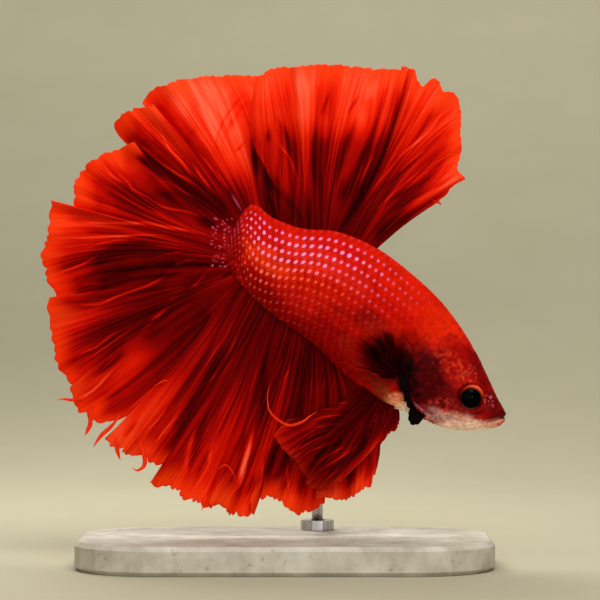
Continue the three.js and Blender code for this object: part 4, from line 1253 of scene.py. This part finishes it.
def red_depth_and_painted_light(fin, place, v, angle):
    """0 where the membrane is palest, and where bands paint the glow of light from above; 1 where it is
    deepest red, and where bands paint shadow.
    """
    root, middle_one, tip = fin["base"]
    depth = np.interp(v, (0, 0.5, 0.8, 1), (root, middle_one, 0.5 * (middle_one + tip), tip))
    for at, half, start, end, much in fin["bands"]:
        along = ease(start - 0.1, start + 0.12, v) * (1 - ease(end - 0.12, end + 0.1, v))
        depth += much * hump(angle - at + 1.5 * wander(v * 4 + at, 17), half) * along
    from_middle = np.abs(2 * place / fin["rays"] - 1)
    depth -= fin.get("clear_sides", 0) * ease(0.6, 1.0, from_middle) * ease(0.1, 0.4, v)
    depth += 0.14 * cloud(place * 0.9, v * 1.2, 18) + 0.12 * cloud(place * 2.3, v * 1.6, 19)
    return depth + 0.10 * cloud(place * 6, v * 2.2, 16)


def held_back(depth):
    """Lets the deepest reds come closer and closer to a limit, so that they don't turn flat."""
    over = np.tanh((depth - DEEPEST["from"]) / DEEPEST["room"])
    return np.where(depth > DEEPEST["from"], DEEPEST["from"] + DEEPEST["room"] * over, depth)


def lilac_at(fin, points, angle, v):
    """Where the fin has a lilac gleam: along a few rays, and in small dots near the tail's root."""
    lilac = np.zeros_like(v)
    for at, half, start, end in fin.get("lilac", ()):
        lilac += hump(angle - at, half) * ease(start, start + 0.1, v) * ease(end, end - 0.1, v)
    for at_x, at_z in fin.get("dots", ()):
        lilac += 1.6 * hump(np.hypot(points[:, 0] - at_x, points[:, 2] - at_z), 0.09)
    return lilac


def fin_piece(name, fin, node, size, part=(0, 1), side=1, thick=0.24, front=-1):
    """One sheet of a fin: its shape, what its material reads at each point, and its thickness."""
    mesh, across, v = grid_mesh(name, *size)
    u = part[0] + (part[1] - part[0]) * across
    points, angle, length, pleat = fin_point(fin, u, v, side)
    place = along_rays(fin, u, v)
    folds = painted_fold_shade_and_highlights(fin, points[:, 0], points[:, 2], place, v)
    points[:, 1] -= front * 0.5 * np.clip(folds, -0.4, 0.5) * ease(0, 0.15, v)
    move_points(mesh, points)
    ridge = ray_ridges(place, v)
    # the depth written here is the red's own depth with the fold lines' painted shade and highlights added
    depth = red_depth_and_painted_light(fin, place, v, angle) + folds * np.where(folds > 0, 1 - 0.6 * ridge, 1)
    # painted shade in the pleats' valleys, which lie away from the camera, and painted light on the crests
    # that face it
    depth -= front * 0.34 * pleat * ease(0.05, 0.45, v)
    write_value(mesh, "depth", held_back(depth))
    write_value(mesh, "ridge", ridge)
    write_value(mesh, "lilac", lilac_at(fin, points, angle, v))
    near_rim = ease(0.86, 1.0, v + 0.05 * wander(u * fin["rays"] * 2.3, 20))
    write_value(mesh, "rim", fin.get("rim", 1) * near_rim)
    first, last = fan_of(fin)
    ray_gap = abs(np.radians(last - first)) * RAY_REACH / fin["rays"]
    write_map(mesh, "rays", place * ray_gap, v * length)
    write_map(mesh, "OFBake", BAKE["margin"] + BAKE["wide"] * across, BAKE["margin"] + BAKE["wide"] * v)
    piece = show(mesh, (node,))
    thicken(piece, thick, (0.35 + 0.65 * ridge) * (1 - 0.45 * v), 0.3)
    return piece


def share_of(fin, angle):
    """How far over the fin a ray is, from 0 to 1."""
    first, last = fan_of(fin)
    return (angle - first) / (last - first)


print("a ray's crest is", float(ray_ridges(np.array(0.0), np.array(0.0)).round(2)), "of full height")


# %% The fins
cuts = (0, share_of(CAUDAL, 141), share_of(CAUDAL, 198), 1)
red_fins = [
    fin_piece(f"caudal_lobe_{number}", CAUDAL, "caudal_fin", (330, 130), part)
    for number, part in enumerate(zip(cuts, cuts[1:]), 1)
]
red_fins.append(fin_piece("dorsal_sail", DORSAL, "dorsal_fin", (380, 115)))
cuts = (0, share_of(ANAL, 259), 1)
for number, part in enumerate(zip(cuts, cuts[1:]), 1):
    red_fins.append(fin_piece(f"anal_veil_{number}", ANAL, "anal_fin", (330, 120), part))
red_fins.append(fin_piece("ventral_sail_right", VENTRAL, "ventral_fin_right", (240, 110), side=-1))
fins_in_view = list(red_fins)
red_fins.append(fin_piece("ventral_sail_left", LEFT_VENTRAL, "ventral_fin_left", (200, 90), front=1))
clear_fins = []
for name, side in (("right", -1), ("left", 1)):
    node = "pectoral_fin_" + name
    fan = fin_piece("pectoral_fan_" + name, PECTORAL, node, (90, 60), side=side, thick=0.14)
    clear_fins.append(fan)

# %% [markdown]
# ## Loose ray tips
# Where the margin is torn, single rays run on alone as thin curling streamers. Each is a sphere
# drawn out along a curve, flat like a ribbon, thick at its root and fine at its tip. It starts
# at the depth of the fin it grows from, and all of them are joined in one mesh.

# %% Streamers
#   width at the root and the tip, depth of colour, then x and z of each point
STREAMERS = (
    (0.80, 0.16, 0.05, -27.9, 23.5, -28.7, 23.24, -30.1, 22.96, -31.5, 23.1, -32.6, 22.9),
    (0.60, 0.70, 0.05, -27.2, 22.8, -27.6, 21.4, -27.6, 19.6, -28, 18.6, -28.4, 17.8),
    (0.90, 0.20, 0.0, -23.4, 20.8, -24.2, 19.5, -25.5, 18.3, -26.3, 17.2, -26.7, 16.5),
    (0.90, 0.25, 0.1, -23.6, 18.2, -23.4, 16.7, -23.1, 15.5, -22.8, 14.7),
    (0.95, 0.30, 0.05, -20.4, 17.8, -20, 16.4, -19.5, 15, -19.7, 13.9, -20.6, 13.4, -21.4, 13.9),
    (0.80, 0.25, 0.1, -10.9, 10.6, -11.2, 9.1, -11.6, 7.6),
    (0.24, 0.08, 0.0, -9.6, 13.1, -9.2, 13.6, -8.4, 14.2, -7.6, 13.7, -7, 12.5, -7.2, 11.5),
    (0.40, 0.10, 0.35, 20.3, 51.2, 21.1, 50.8, 21.7, 50.5, 21.6, 50.2),
    (0.56, 0.24, 0.04, 4.6, 21.6, 3.5, 21, 2.4, 20.2, 0.7, 19.7, -0.7, 20.3, -2.1, 21.7, -2.4, 23.8,
     -2, 25.9),
    (0.12, 0.30, 0.0, -18.9, 25, -17.9, 25.3, -16.9, 25.8, -16.2, 25.9),
)
STREAMER_THICK = 0.18
fin_points = np.concatenate([points_of(piece.data) / MM for piece in fins_in_view])


def fin_depth_at(x, z):
    """How far to the side the nearest fin lies at a place of the side view."""
    off = np.hypot(fin_points[:, 0] - x, fin_points[:, 2] - z)
    return fin_points[off < off.min() + 0.3, 1].min()


def streamer_points(number, ball):
    """One streamer: a ball's points drawn out along its line, just in front of the fins."""
    root, tip, _, *line = STREAMERS[number]
    line = np.array(line).reshape(-1, 2)
    v = np.arccos(np.clip(ball[:, 2], -1, 1)) / np.pi
    place = through(line, v)
    run = through(line, v + 0.01) - through(line, v - 0.01)
    run /= np.linalg.norm(run, axis=1, keepdims=True)
    away = ball[:, 0] * (root + (tip - root) * v) / 2
    nearest = [fin_depth_at(*point) for point in line]
    y = nearest[0] + (min(nearest) - nearest[0]) * ease(0, 0.3, v)
    y += 0.3 * wander(v * 4 + number, 81) - 0.1 - 0.5 * v + ball[:, 1] * STREAMER_THICK / 2
    return np.stack([place[:, 0] - run[:, 1] * away, y, place[:, 1] + run[:, 0] * away], -1)


def streamers():
    """All the streamers as one mesh, with what the fins' material reads."""
    bm = bmesh.new()
    bmesh.ops.create_uvsphere(bm, u_segments=12, v_segments=60, radius=1)
    ball, faces = parts_of(bm)
    count = len(STREAMERS)
    points = np.concatenate([streamer_points(number, ball) for number in range(count)])
    mesh = mesh_of_copies("streamers", points, faces, count)
    shades = np.array([streamer[2] for streamer in STREAMERS])
    v = np.tile(np.arccos(np.clip(ball[:, 2], -1, 1)) / np.pi, count)
    write_value(mesh, "depth", shades[:, None] + 0.25 * np.abs(ball[:, 0]))
    write_value(mesh, "rim", 0.7 * v)
    write_map(mesh, "rays", points[:, 0], 4 * v)
    bake_u = (np.arange(count)[:, None] + 0.5 + 0.4 * ball[:, 0]) / count
    write_map(mesh, "OFBake", bake_u.ravel(), BAKE["margin"] + BAKE["wide"] * v)
    return show(mesh)


red_fins.append(streamers())

# %% [markdown]
# ## Materials: shared effects
# Two effects come back in several finishes: soft mottling, and fine streaks that run with the rays
# of a fin or with the steel's brushing. Each is built once as a node group and placed where it is
# needed with its own values. A group only puts out values, and the shader stays in each material.


# %% Node helpers
def feed(tree, node, links):
    """Feeds a node's inputs with values or with other nodes' outputs."""
    for socket, source in links.items():
        if isinstance(source, bpy.types.NodeSocket):
            tree.links.new(source, node.inputs[socket])
        else:
            node.inputs[socket].default_value = source


def add(tree, kind, links=None, **settings):
    """Adds a node, gives it its settings, and feeds its inputs."""
    made = tree.nodes.new(kind)
    for name, value in settings.items():
        setattr(made, name, value)
    feed(tree, made, links or {})
    return made


def maths(tree, operation, a, b, clamp=False):
    return add(tree, "ShaderNodeMath", {0: a, 1: b}, operation=operation, use_clamp=clamp).outputs[0]


def steps(tree, value, low, high, to_low=0.0, to_high=1.0):
    """Turns values from low to high into to_low to to_high, and stops there."""
    links = {0: value, 1: low, 2: high, 3: to_low, 4: to_high}
    return add(tree, "ShaderNodeMapRange", links, clamp=True).outputs[0]


def noise(tree, place, scale, detail, roughness):
    links = {"Vector": place, "Scale": scale, "Detail": detail, "Roughness": roughness}
    return add(tree, "ShaderNodeTexNoise", links).outputs[0]


def chart(red, green, blue):
    """A paint chart's colour, as a colour socket takes it."""
    return (*tint(red, green, blue), 1)


def blend(tree, share, a, b, way="MIX"):
    links = {0: share, 6: a, 7: b}
    return add(tree, "ShaderNodeMix", links, data_type="RGBA", blend_type=way).outputs[2]


def dimmed(tree, colour, level):
    """A colour made darker or lighter by a level for each point."""
    level = add(tree, "ShaderNodeCombineXYZ", {0: level, 1: level, 2: level}).outputs[0]
    return blend(tree, 1.0, colour, level, "MULTIPLY")


def ramp(tree, value, *stops):
    """A colour ramp; each stop is a position and a paint chart's colour."""
    made = add(tree, "ShaderNodeValToRGB", {0: value})
    elements = made.color_ramp.elements
    for element, (position, colour) in zip(elements, (stops[0], stops[-1])):
        element.position = position
        element.color = chart(*colour)
    for position, colour in stops[1:-1]:
        elements.new(position).color = chart(*colour)
    return made.outputs[0]


def raised(tree, height, strength, distance):
    """A normal that makes fine heights catch the light; the distance is in millimetres."""
    links = {"Height": height, "Strength": strength, "Distance": distance * MM}
    return add(tree, "ShaderNodeBump", links).outputs[0]


def attribute(tree, name, output="Fac"):
    return add(tree, "ShaderNodeAttribute", attribute_name=name).outputs[output]


def own_map(tree, name):
    return add(tree, "ShaderNodeUVMap", uv_map=name).outputs[0]


def own_place(tree):
    return add(tree, "ShaderNodeTexCoord").outputs["Object"]


def group(name, inputs, outputs):
    """A new node group, with the node that its inputs come from and the one that takes its outputs."""
    tree = bpy.data.node_groups.new(name, "ShaderNodeTree")
    for label, kind in inputs.items():
        tree.interface.new_socket(label, in_out="INPUT", socket_type=kind)
    for label, kind in outputs.items():
        tree.interface.new_socket(label, in_out="OUTPUT", socket_type=kind)
    return tree, tree.nodes.new("NodeGroupInput"), tree.nodes.new("NodeGroupOutput")


def place_group(tree, name, links):
    """Puts a node group in a tree, and gives what it puts out."""
    return add(tree, "ShaderNodeGroup", links, node_tree=bpy.data.node_groups[name]).outputs


def mottling(tree, per_metre):
    return place_group(tree, "mottling", {"Place": own_place(tree), "Per metre": per_metre})


def finish(name, **values):
    """A material with one Principled shader and its plain values."""
    made = bpy.data.materials.new(name)
    made.use_nodes = True
    shader = made.node_tree.nodes["Principled BSDF"]
    for socket, value in values.items():
        shader.inputs[socket.replace("_", " ")].default_value = value
    return made, made.node_tree, shader


def wear(pieces, material):
    """Gives the same material to several pieces."""
    for piece in pieces:
        piece.data.materials.clear()
        piece.data.materials.append(material)


# %% Group: mottling
FLOAT, VECTOR = "NodeSocketFloat", "NodeSocketVector"
PATTERN = {"Value": FLOAT, "Fine": FLOAT}
tree, given, result = group("mottling", {"Place": VECTOR, "Per metre": FLOAT}, PATTERN)
place, per_metre = given.outputs["Place"], given.outputs["Per metre"]
value = noise(tree, place, per_metre, 3.0, 0.6)
fine = noise(tree, place, maths(tree, "MULTIPLY", per_metre, 3.7), 2.0, 0.5)
feed(tree, result, {"Value": value, "Fine": fine})

# %% Group: streaks
tree, given, result = group("streaks", {"Map": VECTOR, "Across": FLOAT, "Along": FLOAT}, PATTERN)
stretch = add(tree, "ShaderNodeCombineXYZ", {0: given.outputs["Across"], 1: given.outputs["Along"], 2: 1.0})
links = {0: given.outputs["Map"], 1: stretch.outputs[0]}
laid = add(tree, "ShaderNodeVectorMath", links, operation="MULTIPLY").outputs[0]
value = noise(tree, laid, 1.0, 2.0, 0.6)
fine = noise(tree, laid, 3.3, 2.0, 0.5)
feed(tree, result, {"Value": value, "Fine": fine})
print("node groups", [made.name for made in bpy.data.node_groups])

# %% [markdown]
# ## Fin membrane
# A betta's fin is a red film stretched between bony rays. Light falls on it and also through it,
# so the material mixes a glossy Principled shader with a Translucent one. The colour runs from
# pale orange-red to deep maroon by the painted depth, and the rays and streaks break it up. Besides
# the red's own depth, that depth holds painted light: a glow where light from above shines
# through, shade in fold hollows and pleat valleys, and highlights along fold edges.

# %% Finish: red fins
def ray_streaks(tree, across, along):
    return place_group(tree, "streaks", {"Map": own_map(tree, "rays"), "Across": across, "Along": along})


material, tree, shader = finish("red_fin", Roughness=0.6, Specular_IOR_Level=0.012)
lines = ray_streaks(tree, 1.5, 0.05)
ridge, rim, lilac = (attribute(tree, name) for name in ("ridge", "rim", "lilac"))
depth = attribute(tree, "depth")
depth = maths(tree, "ADD", depth, steps(tree, lines["Value"], 0.3, 0.7, -0.12, 0.12))
depth = maths(tree, "ADD", depth, steps(tree, lines["Fine"], 0.32, 0.68, -0.07, 0.07))
depth = maths(tree, "SUBTRACT", depth, maths(tree, "MULTIPLY", ridge, 0.18))
# Near the margin the red turns paler and orange: the thin edge holds less red, and the orange is also a
# painted glow of light shining through it.
depth = maths(tree, "MULTIPLY", depth, steps(tree, rim, 0.0, 1.0, 1.0, 0.25))
# the palest stops draw the painted glow, and the darkest the painted shade of the folds as well as the
# deepest red
red = ramp(
    tree, steps(tree, depth, -0.3, 1.0), (0.0, (255, 116, 80)), (0.23, (255, 66, 28)),
    (0.37, (242, 40, 9)), (0.55, (212, 17, 4)), (0.75, (148, 4, 4)), (1.0, (58, 0, 2)),
)
red = blend(tree, maths(tree, "MULTIPLY", rim, 0.4), red, chart(255, 86, 16))
sheen = blend(tree, steps(tree, lilac, 0.3, 0.7), chart(170, 20, 84), chart(240, 96, 110))
red = blend(tree, maths(tree, "MULTIPLY", lilac, 0.6, True), red, sheen)
normal = raised(tree, maths(tree, "ADD", ridge, lines["Fine"]), 0.4, 0.12)
feed(tree, shader, {"Base Color": red, "Normal": normal})
through_it = add(tree, "ShaderNodeBsdfTranslucent", {"Color": red, "Normal": normal})
mixed = add(tree, "ShaderNodeMixShader", {0: 0.38, 1: shader.outputs[0], 2: through_it.outputs[0]})
feed(tree, tree.nodes["Material Output"], {"Surface": mixed.outputs[0]})
wear(red_fins, material)

# %% Finish: clear fins
material, tree, shader = finish("clear_fin", Roughness=0.5, Specular_IOR_Level=0.0)
lines = ray_streaks(tree, 1.6, 0.08)
depth = maths(tree, "ADD", attribute(tree, "depth"), steps(tree, lines["Value"], 0.3, 0.7, -0.25, 0.25))
ridge = maths(tree, "MULTIPLY", attribute(tree, "ridge"), 0.22)
depth = maths(tree, "SUBTRACT", depth, ridge)
# The ramp's near-black end, and the veil made opaque where the fin is dark, draw the painted shadow at the
# fin's root.
red = ramp(tree, depth, (0.0, (190, 40, 20)), (0.35, (150, 10, 5)), (0.7, (60, 2, 2)), (1.0, (12, 1, 1)))
thin_rays = maths(tree, "MULTIPLY", ridge, steps(tree, depth, 0.0, 0.3))
veil = maths(tree, "ADD", steps(tree, depth, 0.15, 0.9, 0.0, 0.96), thin_rays)
veil = maths(tree, "MULTIPLY", veil, maths(tree, "SUBTRACT", 1.0, attribute(tree, "rim")), True)
feed(tree, shader, {"Base Color": red, "Alpha": veil})
wear(clear_fins, material)

# %% [markdown]
# ## Skin, scales, eyes and membranes
# The light on this fish is soft, so skin and scales shine only a little, and only the eyes have a
# clear coat. Each scale bears one pearl, a spot of lilac light inside a purple halo, that the
# material draws on the plate's own map. Lower down the flank the pearls turn warm and faint.

# %% Finish: skin
material, tree, shader = finish("skin", Specular_IOR_Level=0.02)
spots = mottling(tree, 1700.0)
colour = dimmed(tree, attribute(tree, "paint", "Color"), steps(tree, spots["Value"], 0.35, 0.65, 0.8, 1.2))
roughness = steps(tree, spots["Fine"], 0.3, 0.7, 0.38, 0.6)
normal = raised(tree, spots["Fine"], 0.15, 0.06)
feed(tree, shader, {"Base Color": colour, "Roughness": roughness, "Normal": normal})
wear([skin], material)

# %% Finish: scales
PEARL = {"at": 0.66, "along": 0.15, "across": 0.30}
material, tree, shader = finish("scales", Specular_IOR_Level=0.0)
spots = mottling(tree, 900.0)
gleam, warm = attribute(tree, "gleam"), attribute(tree, "warm")
plate = add(tree, "ShaderNodeSeparateXYZ", {0: own_map(tree, "plate")}).outputs
free_edge = steps(tree, plate[0], 0.84, 1.0, 0.0, 0.1)
colour = blend(tree, free_edge, attribute(tree, "paint", "Color"), chart(90, 3, 4))
off_u = maths(tree, "DIVIDE", maths(tree, "SUBTRACT", plate[0], PEARL["at"]), PEARL["along"])
off_v = maths(tree, "DIVIDE", plate[1], PEARL["across"])
off = maths(tree, "ADD", maths(tree, "MULTIPLY", off_u, off_u), maths(tree, "MULTIPLY", off_v, off_v))
off = maths(tree, "MULTIPLY", off, steps(tree, gleam, 0.0, 1.0, 2.4, 1.0))
pearl = maths(tree, "MULTIPLY", steps(tree, off, 0.3, 1.5, 1.0, 0.0), gleam)
halo = maths(tree, "MULTIPLY", steps(tree, off, 0.8, 3.4, 0.6, 0.0), gleam)
halo = maths(tree, "MULTIPLY", halo, maths(tree, "SUBTRACT", 1.0, warm))
colour = blend(tree, halo, colour, chart(170, 14, 100))
light = blend(tree, warm, chart(255, 152, 190), chart(246, 104, 76))
roughness = steps(tree, spots["Value"], 0.3, 0.7, 0.4, 0.55)
feed(tree, shader, {"Base Color": blend(tree, pearl, colour, light), "Roughness": roughness})
wear(scales, material)

# %% Finish: eyes
PUPIL_BLACK = (0.0008, 0.0006, 0.001, 1)
values = {"Roughness": 0.4, "Specular_IOR_Level": 0.0, "Coat_Weight": 0.04, "Coat_Roughness": 0.02}
material, tree, shader = finish("eye", **values)
# the ring's orange end, on the side facing the key light, is a painted highlight
ring_and_painted_highlight = ramp(
    tree, steps(tree, attribute(tree, "upper"), -1.0, 1.0), (0.0, (170, 84, 76)), (0.25, (96, 10, 12)),
    (0.6, (130, 16, 10)), (0.82, (208, 62, 30)), (1.0, (240, 104, 58)),
)
outside_pupil = steps(tree, attribute(tree, "from_axis"), 1.31, 1.74)
feed(tree, shader, {"Base Color": blend(tree, outside_pupil, PUPIL_BLACK, ring_and_painted_highlight)})
wear(eyes, material)

# %% Finish: gill membrane
material, tree, shader = finish("membrane", Specular_IOR_Level=0.03)
spots = mottling(tree, 1800.0)
colour = ramp(tree, spots["Value"], (0.35, (4, 1, 2)), (0.8, (24, 5, 7)))
feed(tree, shader, {"Base Color": colour, "Roughness": steps(tree, spots["Fine"], 0.3, 0.7, 0.45, 0.7)})
wear(frills, material)

# %% [markdown]
# ## The stand
# The base is a honed slab of pale limestone with a few darker specks, and the rod and its collar
# are brushed steel. Both shapes are already right in the frame, so they only get their finishes.

# %% Finish: stone
material, tree, shader = finish("limestone")
spots = mottling(tree, 220.0)
colour = ramp(
    tree, spots["Value"], (0.3, (164, 156, 138)), (0.55, (192, 185, 168)), (0.75, (208, 202, 188)),
)
speck = steps(tree, spots["Fine"], 0.64, 0.72, 0.0, 0.4)
colour = blend(tree, speck, colour, chart(128, 116, 98))
roughness = steps(tree, spots["Fine"], 0.3, 0.7, 0.5, 0.68)
normal = raised(tree, spots["Fine"], 0.15, 0.1)
feed(tree, shader, {"Base Color": colour, "Roughness": roughness, "Normal": normal})
wear([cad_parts["stand_base"]], material)

# %% Finish: brushed steel
material, tree, shader = finish("steel", Metallic=1.0, Anisotropic=0.4)
lines = place_group(tree, "streaks", {"Map": own_place(tree), "Across": 900.0, "Along": 900.0})
colour = ramp(tree, lines["Value"], (0.3, (172, 172, 174)), (0.7, (206, 206, 206)))
feed(tree, shader, {"Base Color": colour, "Roughness": steps(tree, lines["Fine"], 0.3, 0.7, 0.22, 0.38)})
wear([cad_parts["stand_rod"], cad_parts["stand_collar"]], material)

# %% [markdown]
# ## Studio
# The floor is one sheet that curves up far behind the fish and at both sides, so no edge shows. Its
# paper is darker at floor level. Five round lamps light the set: a key above and in front, a weak
# fill beside the camera, a low one for the throat, one above and behind that shines through the
# fins, and one on the wall.

# %% Floor and backdrop
#   near, far and side: where its flat part ends; radius: of the curves; top: straight wall above
BACKDROP = {"near": -700, "far": 150, "side": 620, "radius": 520, "top": 500}


def curved_up(travel, straight):
    """How far out and how high a point is after travelling over the floor and up the curve."""
    radius = BACKDROP["radius"]
    turned = np.clip((travel - straight) / radius, 0, math.pi / 2)
    above = np.maximum(0, travel - straight - radius * math.pi / 2)
    return np.minimum(travel, straight) + radius * np.sin(turned), radius * (1 - np.cos(turned)) + above


def backdrop_mesh():
    """A sheet that lies flat under the stand and curves up behind it and at both sides."""
    mesh, across, along = grid_mesh("backdrop", 96, 96)
    depth = BACKDROP["far"] - BACKDROP["near"]
    rise = BACKDROP["radius"] * math.pi / 2 + BACKDROP["top"]
    back, height = curved_up(along * (depth + rise), depth)
    sideways = 2 * across - 1
    aside, side_height = curved_up(np.abs(sideways) * (BACKDROP["side"] + rise), BACKDROP["side"])
    x, y, z = np.sign(sideways) * aside, BACKDROP["near"] + back, height + side_height
    move_points(mesh, np.stack([x, y, z], -1))
    return mesh


backdrop = bpy.data.objects.new("backdrop", backdrop_mesh())
backdrop.data.shade_smooth()
bpy.context.scene.collection.objects.link(backdrop)
material, tree, shader = finish("backdrop_paper", Roughness=0.9)
colour = ramp(tree, mottling(tree, 40.0)["Value"], (0.2, (196, 189, 158)), (0.8, (202, 195, 165)))
height = add(tree, "ShaderNodeSeparateXYZ", {0: own_place(tree)}).outputs[2]
feed(tree, shader, {"Base Color": dimmed(tree, colour, steps(tree, height, 0.0, 0.12, 0.74, 1.0))})
wear([backdrop], material)
print("backdrop", len(backdrop.data.polygons), "faces")

# %% Lights
#   name, place in mm, looks at in mm, size in mm, watts, colour
LIGHTS = (
    ("key", (50, -170, 240), (5, 0, 38), 170, 0.55, (1.0, 0.98, 0.95)),
    ("fill", (-120, -330, 60), (0, 0, 36), 260, 0.22, (1.0, 0.99, 0.97)),
    ("low", (70, -300, 14), (18, 0, 24), 120, 0.15, (1.0, 0.97, 0.95)),
    ("behind", (-60, 130, 190), (0, 0, 40), 150, 0.40, (1.0, 0.97, 0.94)),
    ("wall", (60, 120, 420), (60, 620, 120), 300, 1.0, (1.0, 1.0, 0.97)),
)
ROOM = {"Color": (0.95, 0.97, 1.0, 1), "Strength": 0.35}

for name, place, target, size, watts, colour in LIGHTS:
    lamp = bpy.data.lights.new(name, "AREA")
    lamp.shape = "DISK"
    lamp.size = size * MM
    lamp.energy = watts
    lamp.color = colour
    fixture = bpy.data.objects.new(name, lamp)
    fixture.location = Vector(place) * MM
    aim = Vector(target) - Vector(place)
    fixture.rotation_euler = aim.to_track_quat("-Z", "Y").to_euler()
    bpy.context.scene.collection.objects.link(fixture)
world = bpy.data.worlds.new("studio")
world.use_nodes = True
feed(world.node_tree, world.node_tree.nodes["Background"], ROOM)
bpy.context.scene.world = world
print("lights", [name for name, *_ in LIGHTS])
